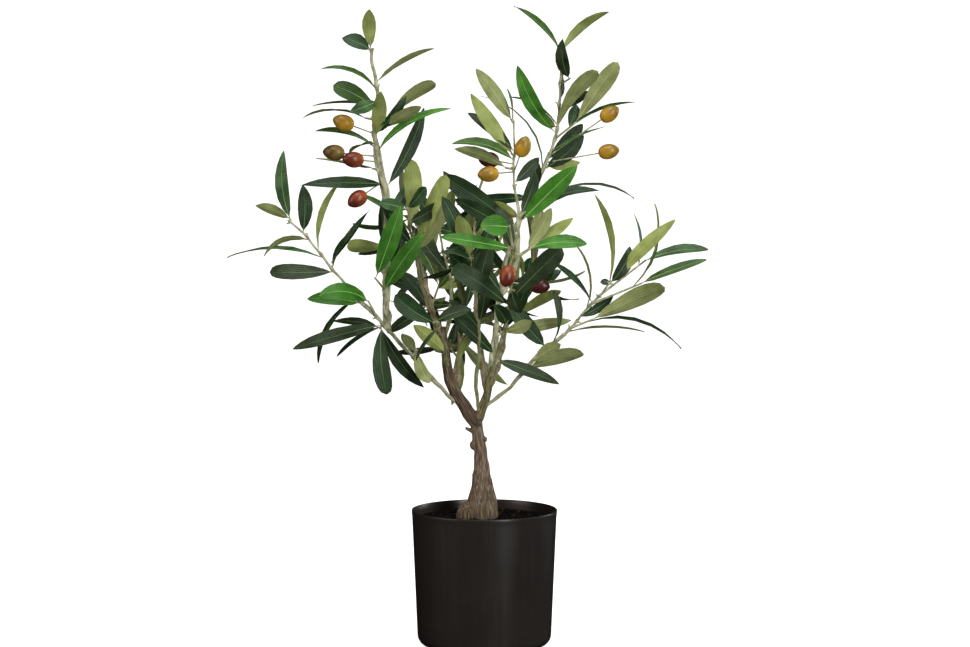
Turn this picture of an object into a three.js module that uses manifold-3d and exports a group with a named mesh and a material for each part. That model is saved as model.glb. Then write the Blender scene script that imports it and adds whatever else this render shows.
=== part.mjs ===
// An artificial olive tree, 600 mm tall, in a plain black plastic pot: a forked bark trunk, stems that
// fan out of its two boughs, and on each stem a spray of twigs, curved leaves and a few olives.
// Millimetres, +Z up. The origin is the middle of the pot's flat underside, and -Y is the front.
import * as THREE from "three";
import { mergeVertices } from "three/addons/utils/BufferGeometryUtils.js";
import Module from "manifold-3d";

const wasm = await Module();
wasm.setup();

// The clear gap that every two pieces keep where they meet.
const seatGap = 0.3;

const pot = {
  height: 127,
  rimRadius: 68,
  footRadius: 62.3,
  wall: 1.8,
  floor: 3,
  footRound: 9,
  sides: 36,
};
const lip = { band: 6, proud: 0.7 };
const fill = { belowRim: 9, sides: 22 };

// Headings are told as on a clock face seen from the front: clock 0 is up, 90 right and -90 left, and
// lean is the angle out of that face, towards the front where it is positive. Both are in degrees.
const trunk = {
  foot: [-2, 0],
  length: 93,
  clocks: [0, 0, -2, -9, -4],
  neckRadius: 5.5,
  footRadius: 15,
  flareHeight: 38,
  sides: 13,
};
const burr = { at: [-17, -3, 122], size: [10, 9, 12] };
const knots = [
  { at: [-10, -1, 187], size: [3.6, 3.6, 5] },
  { at: [-1, -2, 193], size: [3.6, 3.4, 3] },
];
const snag = { at: 0.86, clock: -66, length: 13, radius: 3.2, tipRadius: 1.3 };

// The two boughs go on from the trunk's fork, and each is a limb of its own past its stub.
const boughs = {
  left: {
    length: 98, clocks: [-48, -30, -36, -22, -8, -6, -10, 4], leans: [0],
    radius: 6.6, tipRadius: 3.4, stub: 18,
  },
  right: { length: 55, clocks: [22, 20, 10, 18], leans: [0], radius: 4.6, tipRadius: 3.4, stub: 22 },
};
const boughSides = 9;
const stemSides = 6;
const ringSpacing = { bough: 9, stem: 27 };

const stem = { radius: 2.2, tipRadius: 1.2, sides: 5 };
const twig = { radius: 1.2, tipRadius: 1, sides: 3 };
const sunk = 1.6;
const jointSpread = 8;
const twigReach = 8;
const leaf = { thickness: 1.2, width: 13.5, widthRange: 3, fold: 0.16, twist: 16 };
const olive = { length: 20, width: 14.6, stalkRadius: 0.8, around: 8, along: 4 };

// The share of a leaf's half width at each share of its length, by a lancet's rule.
const lancet = { baseFullness: 1, tipFullness: 0.68, stations: [0.18, 0.46, 0.8] };

// A leaf that would come nearer than this to another piece leans by steps until it is clear, or is
// left out.
const clearance = { toOthers: 5, toLimbs: 3.2, toOwn: 2.2 };
const leanSteps = [0, 10, -10, 20, -20, 32, -32, 44, -44];
const probes = { along: 10, ownFrom: 0.35 };

// One row is one leaf: clock and length of its chord, lean, roll about that chord (0 shows its upper
// side, 180 its underside, 90 its edge with the upper side turned clockwise), curl, tone, own width.
// A twig is where it leaves the stem as a share of its length, its heading, its length and its leaves,
// which sit along it from its root outwards. A row with no length is a joint in the stem itself.
const sprays = [
  {
    name: "low_left", bough: "left", from: 0.2, length: 238, bare: 0.45,
    clocks: [-58, -46, -40, -40, -43, -45, -40, -38, -40, -46], leans: [10, 6, 4, 2, 0],
    twigs: [
      { at: 0.46, clock: -150, lean: 20, length: 6, leaves: [
        [-105, 85, 5, 35, 40, "dark", 16], [175, 65, 15, 10, 20, "dark", 17],
        [-125, 55, -20, 60, 20, "dark", 10],
        [145, 70, -5, 25, 30, "dark", 14], [-85, 55, -30, 60, 20, "dark", 12]] },
      { at: 0.49, clock: -26, lean: 24, length: 20, leaves: [[-80, 50, 25, 40, 70, "bright", 19]] },
      { at: 0.53, clock: -50, lean: 10, length: 12, leaves: [[-85, 50, 0, 35, 40, "bright", 16]] },
      { at: 0.6, clock: -120, lean: -10, length: 5, leaves: [[-150, 70, -10, 60, 50, "dark", 12]] },
      { at: 0.75, leaves: [
        [-90, 60, 5, 30, 35, "dark", 17], [25, 40, -15, -75, 30, "dark", 9],
        [35, 75, -25, -50, 15, "dark", 9]] },
      { at: 0.82, leaves: [
        [-90, 90, -5, 80, 45, "mid", 10], [20, 60, 5, -110, 45, "mid"]] },
      { at: 0.91, leaves: [
        [-110, 45, 20, 120, 80, "mid", 11], [0, 45, 0, 10, 20, "dark", 14]] },
      { at: 1, clock: -30, lean: 0, length: 4, leaves: [
        [-5, 65, 5, -25, 35, "mid", 15], [-70, 35, -10, 150, 30, "mid", 11]] },
    ],
    olives: [],
  },
  {
    name: "top_left", bough: "low_left", from: 0.95, length: 262, bare: 0,
    clocks: [-10, -2, 3, 4, 0, -11, -14, 0, 10, -12, -8], leans: [-4, 8, 12, 12],
    twigs: [
      { at: 0.12, clock: -24, lean: 40, length: 8, leaves: [[35, 75, 25, 10, 15, "bright", 18]] },
      { at: 0.14, clock: -35, lean: 50, length: 24, leaves: [[20, 75, 15, 5, 20, "bright", 18]] },
      { at: 0.17, leaves: [[20, 50, -20, 30, 15, "dark", 13]] },
      { at: 0.21, leaves: [[0, 70, -30, 30, 20, "dark", 14]] },
      { at: 0.29, clock: -60, lean: -20, length: 8, leaves: [
        [-90, 35, -10, 150, 20, "mid", 16], [5, 55, -20, 20, 10, "dark", 10]] },
      { at: 0.38, leaves: [[30, 40, -45, 30, 20, "mid"]] },
      { at: 0.5, clock: 30, lean: -10, length: 6, leaves: [
        [25, 85, -15, 30, 20, "dark", 14], [-90, 80, 0, 40, 45, "dark", 14]] },
      { at: 0.57, clock: -80, lean: -5, length: 8, leaves: [[-80, 65, -10, -80, -15, "mid", 9]] },
      { at: 0.65, leaves: [
        [60, 80, 10, -50, 50, "bright", 12], [-75, 60, -10, 60, 45, "mid", 9],
        [-110, 30, -30, 85, 50, "mid", 8]] },
      { at: 0.7, leaves: [
        [10, 55, 40, 170, 10, "mid", 14], [40, 45, 10, 30, 50, "dark", 10],
        [65, 55, 30, -150, 25, "mid", 12]] },
      { at: 0.73, clock: 56, lean: -12, length: 20, leaves: [[55, 50, -10, -140, 55, "mid", 16]] },
      { at: 0.75, clock: -80, lean: 0, length: 10, leaves: [[-90, 60, -10, 85, 55, "mid", 9]] },
      { at: 0.8, leaves: [
        [-60, 50, 30, 15, 30, "mid", 16], [-90, 65, -20, 75, 25, "dark", 8],
        [-115, 50, 60, 10, 15, "mid", 12]] },
      { at: 0.87, leaves: [
        [-70, 55, 5, 70, 65, "mid", 11], [60, 60, -5, -110, 25, "mid", 11]] },
      { at: 1, clock: -10, lean: 0, length: 3, leaves: [
        [-65, 30, -15, 20, 25, "dark", 14], [0, 40, 30, 165, 20, "mid", 13]] },
    ],
    olives: [
      { at: 0.7, clock: -70, lean: 5, stalk: 20, tone: "amber" },
      { at: 0.6, clock: -85, lean: 25, stalk: 15, tone: "russet" },
      { at: 0.62, clock: -85, lean: -5, stalk: 30, tone: "umber" },
      { at: 0.53, clock: -125, lean: 20, stalk: 20, tone: "russet" },
    ],
  },
  {
    name: "mid_left", bough: "left", from: 0.97, length: 122, bare: 0,
    clocks: [-40, -20, -8, -15, -4], leans: [16, 14, 10, 8],
    twigs: [
      { at: 0.2, leaves: [
        [-40, 55, -25, 10, 15, "dark", 14], [-125, 40, -10, 20, 20, "dark"]] },
      { at: 0.42, leaves: [[70, 40, 20, 60, 30, "dark", 9]] },
      { at: 0.66, leaves: [
        [20, 80, -5, 160, 15, "mid", 18], [30, 60, 20, 140, 45, "mid", 13],
        [-35, 45, -30, 20, 15, "dark"]] },
      { at: 0.86, leaves: [
        [0, 70, -20, 170, 15, "mid", 17], [60, 40, -30, 20, 20, "dark", 14]] },
      { at: 1, length: 3, leaves: [
        [-75, 30, 10, 20, 10, "mid", 12], [40, 30, -30, 30, 15, "dark", 13]] },
    ],
    olives: [],
  },
  {
    name: "centre_left", bough: "left", from: 0.8, length: 118, bare: 0.45,
    clocks: [2, 12, -4, -18, -6], leans: [-34, -14, -4],
    twigs: [
      { at: 0.58, leaves: [
        [75, 45, -10, -80, 10, "dark", 9], [-40, 45, -20, 20, 20, "dark"]] },
      { at: 0.8, clock: 60, lean: 10, length: 10, leaves: [
        [75, 30, 20, 10, 15, "dark", 12], [30, 40, 35, 170, 10, "mid"]] },
      { at: 1, length: 4, leaves: [
        [20, 40, 10, 160, 15, "mid", 14], [-30, 40, -10, 15, 20, "dark"],
        [60, 55, -20, 20, 15, "dark"], [5, 50, -35, 20, 15, "dark"]] },
    ],
    olives: [],
  },
  {
    name: "front_left", bough: "left", from: 0.62, length: 116, bare: 0.25,
    clocks: [0, -8, -24], leans: [68, 66, 58],
    twigs: [
      { at: 0.3, leaves: [[-50, 40, -10, 165, 15, "mid", 14]] },
      { at: 0.84, leaves: [[-145, 35, 10, 60, 40, "dark", 9]] },
      { at: 1, leaves: [
        [-55, 45, 10, 0, 15, "dark", 18], [70, 35, 10, -45, 45, "dark", 14]] },
    ],
    olives: [],
  },
  {
    name: "knot_shoot", bough: "left", from: 0.52, length: 14, bare: 0,
    clocks: [40], leans: [4],
    twigs: [{ at: 1, leaves: [[30, 40, 5, -130, 40, "mid", 11]] }],
    olives: [],
  },
  {
    name: "low_shoot", bough: "low_left", from: 0.62, length: 10, bare: 0,
    clocks: [20], leans: [20],
    twigs: [{ at: 1, leaves: [
      [-30, 30, 10, 165, 20, "mid", 11], [155, 40, 40, 150, 30, "mid", 13]] }],
    olives: [],
  },
  {
    name: "middle", bough: "right", from: 0.14, length: 168, bare: 0.5,
    clocks: [-12, 0, 6, -2, -10, -8], leans: [34, 30, 24, 14],
    twigs: [
      { at: 0.6, leaves: [
        [-45, 35, 20, 20, 20, "dark"], [10, 35, 20, 20, 15, "dark", 11]] },
      { at: 0.8, leaves: [
        [15, 55, 5, 10, 20, "dark", 15], [-30, 40, 25, 150, 20, "mid", 14]] },
      { at: 0.9, leaves: [[-50, 35, 40, 10, 25, "dark", 12]] },
      { at: 1, length: 4, leaves: [
        [-75, 25, 20, 10, 20, "dark", 12], [-15, 45, 25, 165, 20, "mid", 15],
        [30, 40, -10, 20, 20, "dark"], [-25, 60, 0, 10, 15, "dark", 16]] },
    ],
    olives: [],
  },
  {
    name: "front_centre", bough: "right", from: 0.4, length: 196, bare: 0.42,
    clocks: [10, 14, 16, 4, 0], leans: [50, 46, 40, 34, 28],
    twigs: [
      { at: 0.55, leaves: [
        [70, 30, 30, 160, 20, "mid", 12], [-30, 45, 60, 15, 20, "dark", 13]] },
      { at: 0.7, leaves: [
        [-55, 65, 15, 10, 25, "dark", 18], [45, 65, 5, 5, 20, "dark", 19]] },
      { at: 0.76, leaves: [[160, 25, -20, 20, 20, "dark", 13]] },
      { at: 0.93, clock: 54, lean: 20, length: 22, leaves: [[85, 50, 10, -35, 45, "bright", 15]] },
      { at: 0.96, leaves: [[-20, 40, -30, 15, 20, "dark"]] },
      { at: 1, leaves: [[-80, 65, 10, 35, 40, "bright", 14]] },
      { at: 1, clock: -8, lean: 26, length: 24, leaves: [[-85, 30, 30, 10, 30, "bright", 19]] },
      { at: 1, clock: 16, lean: 16, length: 28, leaves: [[45, 70, 10, -5, 15, "bright", 18]] },
    ],
    olives: [{ at: 0.96, clock: -165, lean: 25, stalk: 10, tone: "russet" }],
  },
  {
    name: "centre", bough: "right", from: 0.96, length: 236, bare: 0,
    clocks: [12, 8, -6, 8, 40, 12, 4, 0, -10, -5, 4, -4, -3], leans: [10, 6, 4, 0, 0],
    twigs: [
      { at: 0.02, leaves: [[110, 65, 10, -35, 50, "dark", 14]] },
      { at: 0.04, leaves: [[-45, 60, 15, 20, 30, "dark", 14]] },
      { at: 0.13, leaves: [[80, 70, 5, 160, 25, "mid", 12]] },
      { at: 0.28, leaves: [[120, 45, -25, 60, 30, "dark", 9]] },
      { at: 0.32, leaves: [
        [-35, 40, -20, 20, 15, "dark"], [70, 25, -10, 20, 15, "dark"]] },
      { at: 0.47, clock: 58, lean: 4, length: 20, leaves: [
        [30, 45, -5, 160, 15, "mid", 14], [55, 45, -10, 150, 20, "mid", 13]] },
      { at: 0.53, leaves: [[-60, 70, -10, 10, 15, "dark", 15]] },
      { at: 0.59, leaves: [
        [-55, 90, -30, 5, 15, "dark", 17], [45, 40, -20, 60, 20, "dark", 10]] },
      { at: 0.62, clock: 40, lean: 26, length: 5, leaves: [
        [-65, 35, -20, 160, 15, "mid", 12], [20, 45, -20, 20, 15, "dark", 14]] },
      { at: 0.74, leaves: [[45, 35, -30, 20, 15, "dark", 12]] },
      { at: 0.81, clock: -80, lean: -20, length: 9, leaves: [[-70, 55, -10, 160, 20, "mid", 11]] },
      { at: 0.86, leaves: [
        [-75, 60, 10, 45, 60, "mid", 14], [-35, 70, 0, -160, 25, "mid", 15],
        [-50, 60, -20, 20, 20, "dark", 12]] },
      { at: 1, clock: -6, lean: 0, length: 3, leaves: [
        [-35, 60, 5, -160, 30, "mid", 15], [-10, 30, -10, 85, 20, "mid", 8]] },
    ],
    olives: [
      { at: 0.8, clock: 20, lean: 15, stalk: 15, tone: "amber" },
      { at: 0.8, clock: -95, lean: 20, stalk: 15, tone: "amber" },
      { at: 0.83, clock: -80, lean: -20, stalk: 15, tone: "plum" },
      { at: 0.36, clock: 95, lean: 25, stalk: 20, tone: "plum" },
    ],
  },
  {
    name: "top_right", bough: "right", from: 0.7, length: 334, bare: 0.48,
    clocks: [2, 8, 10, 9, 10, 28, 28, 20, 8, 2, 2], leans: [-34, -18, -10, -6, -4],
    twigs: [
      { at: 0.52, clock: 72, lean: 4, length: 22, leaves: [
        [75, 65, 10, -50, 40, "dark", 11], [85, 95, -10, -85, 80, "mid", 8],
        [70, 35, -20, -70, 20, "mid", 8], [-170, 35, 10, 165, 10, "mid", 12]] },
      { at: 0.58, leaves: [
        [-95, 85, 25, 30, 45, "dark", 13], [0, 35, 30, 10, 15, "dark", 12]] },
      { at: 0.66, leaves: [
        [-40, 95, 5, 80, 85, "mid", 9], [50, 50, -5, 10, 15, "dark", 15],
        [85, 45, -40, 160, 20, "mid", 12]] },
      { at: 0.7, leaves: [
        [45, 50, -15, 10, 15, "dark", 15], [65, 60, 20, -75, 15, "mid", 8]] },
      { at: 0.75, clock: 52, lean: 4, length: 27, leaves: [
        [20, 25, -20, 10, 15, "dark", 12], [70, 65, -5, -80, 30, "mid", 10],
        [35, 70, 5, 170, 20, "mid", 18]] },
      { at: 0.78, leaves: [
        [-30, 75, 10, -20, 35, "bright", 16], [35, 70, 5, -150, 45, "mid", 16],
        [-55, 35, -35, 160, 15, "mid", 12], [-60, 55, -15, 85, 50, "mid", 8]] },
      { at: 0.85, leaves: [
        [60, 40, -30, 20, 20, "dark", 10], [5, 30, -20, 80, 15, "dark", 8]] },
      { at: 0.91, clock: 60, lean: 4, length: 11, leaves: [[-10, 40, 15, -35, 70, "dark", 15]] },
      { at: 1, clock: -10, lean: 0, length: 3, leaves: [
        [-45, 65, -5, 65, 40, "mid", 11], [50, 60, 5, -130, 75, "mid", 14]] },
    ],
    olives: [
      { at: 0.7, clock: 55, lean: 10, stalk: 60, tone: "amber" },
      { at: 0.68, clock: 80, lean: 10, stalk: 50, tone: "amber" },
    ],
  },
  {
    name: "low_right", bough: "right", from: 0.26, length: 168, bare: 0.32,
    clocks: [56, 52, 46, 34, 46, 54, 42, 40, 46, 38], leans: [8, 4, 0, 0],
    twigs: [
      { at: 0.36, leaves: [
        [75, 55, 5, -150, 35, "mid", 17], [55, 35, 25, 170, 10, "mid", 14]] },
      { at: 0.52, leaves: [
        [-40, 55, 10, 5, 20, "dark", 16], [0, 50, -5, 60, 60, "dark", 12]] },
      { at: 0.61, leaves: [[90, 75, 5, -100, 30, "mid", 10]] },
      { at: 0.66, clock: 68, lean: 4, length: 24, leaves: [
        [105, 95, -5, -85, 65, "dark", 9], [65, 75, 10, -165, 30, "mid", 19]] },
      { at: 0.72, leaves: [[60, 40, -20, 20, 20, "dark", 10]] },
      { at: 0.83, leaves: [
        [-10, 60, 0, 80, 60, "mid", 9], [-45, 55, -15, 70, 20, "dark", 10]] },
      { at: 0.84, clock: 68, lean: -6, length: 52, leaves: [
        [15, 80, -5, 85, 60, "mid", 9], [70, 65, 0, -45, 20, "mid", 12]] },
      { at: 0.9, clock: 54, lean: -20, length: 60, leaves: [
        [-5, 50, -10, 80, 35, "mid", 8], [80, 60, 0, -45, 30, "mid", 13]] },
      { at: 1, clock: 30, lean: 0, length: 4, leaves: [
        [-10, 85, 0, 110, 40, "mid", 12], [30, 40, -15, 20, 80, "dark", 14],
        [45, 85, 10, 155, 20, "mid", 13], [-90, 10, 10, 20, 20, "dark", 6]] },
    ],
    olives: [],
  },
];

// The sprays behind carry the same kinds of twig and leaf, dealt out by the seeded rule alone.
const backSprays = [
  {
    name: "back_left", bough: "left", from: 0.66, length: 186, bare: 0.36,
    clocks: [-22, -14, -6], leans: [-52, -48, -34],
  },
  {
    name: "back_low", bough: "left", from: 0.36, length: 140, bare: 0.3,
    clocks: [10, -10], leans: [-64, -60, -50],
  },
  {
    name: "back_centre", bough: "right", from: 0.5, length: 206, bare: 0.34,
    clocks: [-12, -4, 0], leans: [-52, -40, -26],
  },
  {
    name: "back_right", bough: "right", from: 0.6, length: 186, bare: 0.38,
    clocks: [30, 14, 10, 8], leans: [-62, -52, -46, -34],
  },
];
const backRule = {
  twigs: 6,
  firstAt: 0.42,
  turn: 137.5,
  spread: 46,
  twigLength: 20,
  leaves: 4,
  leafLength: 56,
  leafRange: 18,
  fan: 60,
  curl: 35,
  darkShare: 0.5,
  stations: [0.28, 0.7],
};

const finishes = {
  pot: { color: 0x242322, roughness: 0.42, metalness: 0 },
  fill: { color: 0x1d1815, roughness: 0.95, metalness: 0 },
  bark: { color: 0x6b5a45, roughness: 0.85, metalness: 0 },
  stem: { color: 0xa3a37c, roughness: 0.6, metalness: 0 },
  dark: { color: 0x24412c, roughness: 0.55, metalness: 0 },
  mid: { color: 0x4f6a34, roughness: 0.55, metalness: 0 },
  bright: { color: 0x3c7a26, roughness: 0.55, metalness: 0 },
};

const radians = THREE.MathUtils.degToRad;
const front = new THREE.Vector3(0, -1, 0);

// A repeatable number from 0 to 1 for each seed.
function chance(seed) {
  const wave = Math.sin(seed * 127.1 + 11.7) * 43758.5453;
  return wave - Math.floor(wave);
}

function heading(clock, lean) {
  const [c, l] = [radians(clock), radians(lean)];
  return new THREE.Vector3(Math.sin(c) * Math.cos(l), -Math.sin(l), Math.cos(c) * Math.cos(l));
}

// The value at share t of a list of values that are spread evenly over a length.
function along(values, t) {
  const place = Math.min(Math.max(t, 0), 1) * (values.length - 1);
  const low = Math.min(Math.floor(place), values.length - 2);
  return values.length === 1 ? values[0] : values[low] + (values[low + 1] - values[low]) * (place - low);
}

// The course of a limb from its start: points at even steps, turning through its clocks and leans.
function course(start, length, clocks, leans, steps = 24) {
  const points = [start.clone()];
  for (let i = 0; i < steps; i++) {
    const t = (i + 0.5) / steps;
    const step = heading(along(clocks, t), along(leans, t)).multiplyScalar(length / steps);
    points.push(points[i].clone().add(step));
  }
  return { points, length };
}

function pointOn(line, t) {
  const place = Math.min(Math.max(t, 0), 1) * (line.points.length - 1);
  const low = Math.min(Math.floor(place), line.points.length - 2);
  return line.points[low].clone().lerp(line.points[low + 1], place - low);
}

function tangentOn(line, t) {
  const reach = 0.5 / line.points.length;
  return pointOn(line, t + reach).sub(pointOn(line, t - reach)).normalize();
}

// Wraps a solid of revolution about Y, whose height runs from 0 to 1, onto the frame at each height.
function wrap(geometry, frameAt) {
  const position = geometry.getAttribute("position");
  for (let i = 0; i < position.count; i++) {
    const { origin, side, normal } = frameAt(position.getY(i));
    origin.addScaledVector(side, position.getX(i)).addScaledVector(normal, position.getZ(i));
    position.setXYZ(i, origin.x, origin.y, origin.z);
  }
  return geometry;
}

// A closed geometry as a solid, with its seams merged and its collapsed faces dropped.
function solidOf(geometry) {
  const bare = geometry.clone();
  for (const name of ["normal", "uv"]) bare.deleteAttribute(name);
  const merged = mergeVertices(bare, 1e-4);
  const triVerts = [];
  for (let i = 0; i < merged.index.count; i += 3) {
    const [a, b, c] = [merged.index.getX(i), merged.index.getX(i + 1), merged.index.getX(i + 2)];
    if (a !== b && b !== c && a !== c) triVerts.push(a, b, c);
  }
  const made = new wasm.Manifold(new wasm.Mesh({
    numProp: 3,
    vertProperties: merged.getAttribute("position").array,
    triVerts: new Uint32Array(triVerts),
  }));
  if (made.volume() > 0) return made;
  for (let i = 0; i < triVerts.length; i += 3) triVerts.splice(i, 2, triVerts[i + 1], triVerts[i]);
  return new wasm.Manifold(new wasm.Mesh({
    numProp: 3,
    vertProperties: merged.getAttribute("position").array,
    triVerts: new Uint32Array(triVerts),
  }));
}

function geometryOf(solid) {
  const { vertProperties, triVerts } = solid.getMesh();
  return new THREE.BufferGeometry()
    .setAttribute("position", new THREE.BufferAttribute(vertProperties, 3))
    .setIndex(new THREE.BufferAttribute(triVerts, 1));
}

// A limb with round section along shares t0 to t1 of a course, whose radius is a function of the share.
function limb(line, radiusAt, sides, t0 = 0, t1 = 1, spacing = ringSpacing.stem) {
  const rings = Math.max(2, Math.round(((t1 - t0) * line.length) / spacing));
  const profile = [new THREE.Vector2(0, t0)];
  for (let i = 0; i <= rings; i++) {
    const t = t0 + ((t1 - t0) * i) / rings;
    profile.push(new THREE.Vector2(radiusAt(t), t));
  }
  profile.push(new THREE.Vector2(0, t1));
  const frameAt = (t) => {
    const tangent = tangentOn(line, t);
    const side = new THREE.Vector3().crossVectors(tangent, front).normalize();
    return { origin: pointOn(line, t), side, normal: new THREE.Vector3().crossVectors(side, tangent) };
  };
  return solidOf(wrap(new THREE.LatheGeometry(profile, sides), frameAt));
}

function lump({ at, size }) {
  return solidOf(new THREE.SphereGeometry(1, 9, 6).scale(...size).translate(...at));
}

// A leaf's blade as a bent strip: the middle, side and face direction at any share of its length.
function blade(root, row, lean, seed) {
  const [clock, length, , roll, curl, , ownWidth] = row;
  const chord = heading(clock, lean);
  const face = front.clone().addScaledVector(chord, -front.dot(chord)).normalize();
  face.applyAxisAngle(chord, radians(roll));
  const side = new THREE.Vector3().crossVectors(chord, face);
  const half = radians(curl) / 2;
  const radius = length / (2 * Math.sin(half));
  const width = ownWidth ?? leaf.width + leaf.widthRange * (chance(seed) - 0.5);
  const twist = radians(leaf.twist) * (chance(seed + 0.5) - 0.5);
  const frameAt = (t) => {
    const angle = half * (1 - 2 * t);
    const tangent = chord.clone().multiplyScalar(Math.cos(angle)).addScaledVector(face, Math.sin(angle));
    const origin = root.clone()
      .addScaledVector(chord, radius * (Math.sin(half) - Math.sin(angle)))
      .addScaledVector(face, radius * (Math.cos(angle) - Math.cos(half)));
    const turn = twist * (2 * t - 1);
    const normal = new THREE.Vector3().crossVectors(side, tangent).applyAxisAngle(tangent, turn);
    return { origin, side: side.clone().applyAxisAngle(tangent, turn), normal };
  };
  return { frameAt, halfWidth: (t) => (width / 2) * lancetShare(t) };
}

function lancetShare(t) {
  const { baseFullness: a, tipFullness: b } = lancet;
  const widest = a / (a + b);
  return (t ** a * (1 - t) ** b) / (widest ** a * (1 - widest) ** b);
}

// The blade's solid is a four-sided spindle, flattened to the leaf's thickness and folded along its rib.
function leafSolid({ frameAt, halfWidth }, stations = lancet.stations) {
  const profile = [0, ...stations, 1].map((t) => new THREE.Vector2(t % 1 === 0 ? 0 : 1, t));
  const spindle = new THREE.LatheGeometry(profile, 4);
  const position = spindle.getAttribute("position");
  for (let i = 0; i < position.count; i++) {
    const half = halfWidth(position.getY(i));
    const across = position.getX(i);
    const lift = Math.abs(across) * half * leaf.fold;
    position.setX(i, across * half);
    position.setZ(i, (position.getZ(i) * leaf.thickness) / 2 + lift);
  }
  return solidOf(wrap(spindle, frameAt));
}

// What a leaf must stay clear of: points with the radius of what they stand for, and their spray.
const placed = [];

function markLimb(line, radiusAt, owner, t0 = 0, t1 = 1) {
  const count = Math.max(2, Math.ceil(((t1 - t0) * line.length) / 4));
  for (let i = 0; i <= count; i++) {
    const t = t0 + ((t1 - t0) * i) / count;
    placed.push({ point: pointOn(line, t), radius: radiusAt(t), owner, limb: true });
  }
}

function bladePoints({ frameAt, halfWidth }) {
  const points = [];
  for (let i = 1; i <= probes.along; i++) {
    const t = i / probes.along;
    const { origin, side } = frameAt(t);
    for (const across of [-1, 0, 1]) {
      points.push({ point: origin.clone().addScaledVector(side, across * halfWidth(t)), t });
    }
  }
  return points;
}

function isClear(points, owner) {
  return points.every(({ point, t }) => placed.every((other) => {
    if (other.owner === owner && (other.limb || t < probes.ownFrom)) return true;
    const toForeign = other.limb ? clearance.toLimbs : clearance.toOthers;
    const gap = other.owner === owner ? clearance.toOwn : toForeign;
    return point.distanceTo(other.point) > gap + other.radius;
  }));
}

const taper = (from, to) => (t) => from + (to - from) * t;

const trunkFoot = new THREE.Vector3(trunk.foot[0], trunk.foot[1], pot.height - fill.belowRim + seatGap);
const trunkLine = course(trunkFoot, trunk.length, trunk.clocks, [0]);
const trunkRadius = (t) => {
  const flare = Math.exp(-(((t * trunk.length) / trunk.flareHeight) ** 2));
  return trunk.neckRadius + (trunk.footRadius - trunk.neckRadius) * flare;
};
const limbs = {};
for (const [name, bough] of Object.entries(boughs)) {
  const line = course(pointOn(trunkLine, 0.97), bough.length, bough.clocks, bough.leans);
  const radiusAt = taper(bough.radius, bough.tipRadius);
  limbs[name] = { line, radiusAt, stub: bough.stub, spacing: ringSpacing.bough };
}

function potSolid() {
  const { height, rimRadius, footRadius, wall, floor, footRound } = pot;
  const outerAt = (z) => footRadius + ((rimRadius - lip.proud - footRadius) * z) / height;
  const profile = [new THREE.Vector2(0, 0)];
  for (let i = 0; i <= 4; i++) {
    const angle = (Math.PI / 2) * (i / 4);
    profile.push(new THREE.Vector2(
      footRadius - footRound + footRound * Math.sin(angle),
      footRound - footRound * Math.cos(angle),
    ));
  }
  profile.push(new THREE.Vector2(outerAt(height - lip.band), height - lip.band));
  profile.push(new THREE.Vector2(rimRadius, height - wall / 2));
  profile.push(new THREE.Vector2(rimRadius - wall / 2, height));
  profile.push(new THREE.Vector2(rimRadius - wall, height - wall / 2));
  profile.push(new THREE.Vector2(outerAt(height - lip.band) - wall, height - lip.band));
  profile.push(new THREE.Vector2(outerAt(footRound) - wall, footRound));
  profile.push(new THREE.Vector2(footRadius - footRound, floor));
  profile.push(new THREE.Vector2(0, floor));
  return solidOf(new THREE.LatheGeometry(profile, pot.sides).rotateX(Math.PI / 2));
}

function fillSolid() {
  const { height, rimRadius, footRadius, wall, floor, footRound } = pot;
  const sideRise = (rimRadius - lip.proud - footRadius) / height;
  const innerAt = (z) => footRadius + sideRise * z - wall - seatGap;
  const shrink = Math.cos(Math.PI / pot.sides);
  const top = height - fill.belowRim;
  const profile = [
    new THREE.Vector2(0, floor + seatGap),
    new THREE.Vector2((footRadius - footRound) * shrink - seatGap, floor + seatGap),
    new THREE.Vector2(innerAt(footRound) * shrink - seatGap, footRound + seatGap),
    new THREE.Vector2(innerAt(top) * shrink, top),
    new THREE.Vector2(0, top),
  ];
  return solidOf(new THREE.LatheGeometry(profile, fill.sides).rotateX(Math.PI / 2));
}

function trunkSolid() {
  let made = limb(trunkLine, trunkRadius, trunk.sides, 0, 1, ringSpacing.bough);
  for (const { line, radiusAt, stub, spacing } of Object.keys(boughs).map((name) => limbs[name])) {
    made = made.add(limb(line, radiusAt, boughSides, 0, stub / line.length, spacing));
  }
  for (const piece of [burr, ...knots]) made = made.add(lump(piece));
  const snagLine = course(pointOn(trunkLine, snag.at), snag.length, [snag.clock], [0]);
  made = made.add(limb(snagLine, taper(snag.radius, snag.tipRadius), 6));
  const ground = new THREE.BoxGeometry(200, 200, 100).translate(0, 0, trunkFoot.z - 50);
  return made.subtract(solidOf(ground));
}

const group = new THREE.Group();

function addPiece(name, solid, finish) {
  const mesh = new THREE.Mesh(geometryOf(solid), new THREE.MeshStandardMaterial(finishes[finish]));
  mesh.name = name;
  group.add(mesh);
}

// Each spray's stem starts inside its bough, which is cut away from it with the gap that both keep. The
// bare stretch of a stem is a bough too, and can carry another spray.
function layOut(spray) {
  const parent = limbs[spray.bough];
  const line = course(pointOn(parent.line, spray.from), spray.length, spray.clocks, spray.leans);
  const radiusAt = taper(stem.radius, stem.tipRadius);
  if (spray.bare > 0) {
    const end = spray.bare - seatGap / 2 / spray.length;
    const points = Array.from({ length: 13 }, (_, i) => pointOn(line, (end * i) / 12));
    const bareLine = { points, length: end * spray.length };
    limbs[spray.name] = { line: bareLine, radiusAt: (t) => radiusAt(t * end) };
  }
  return { ...spray, line, radiusAt, parent };
}

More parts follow.
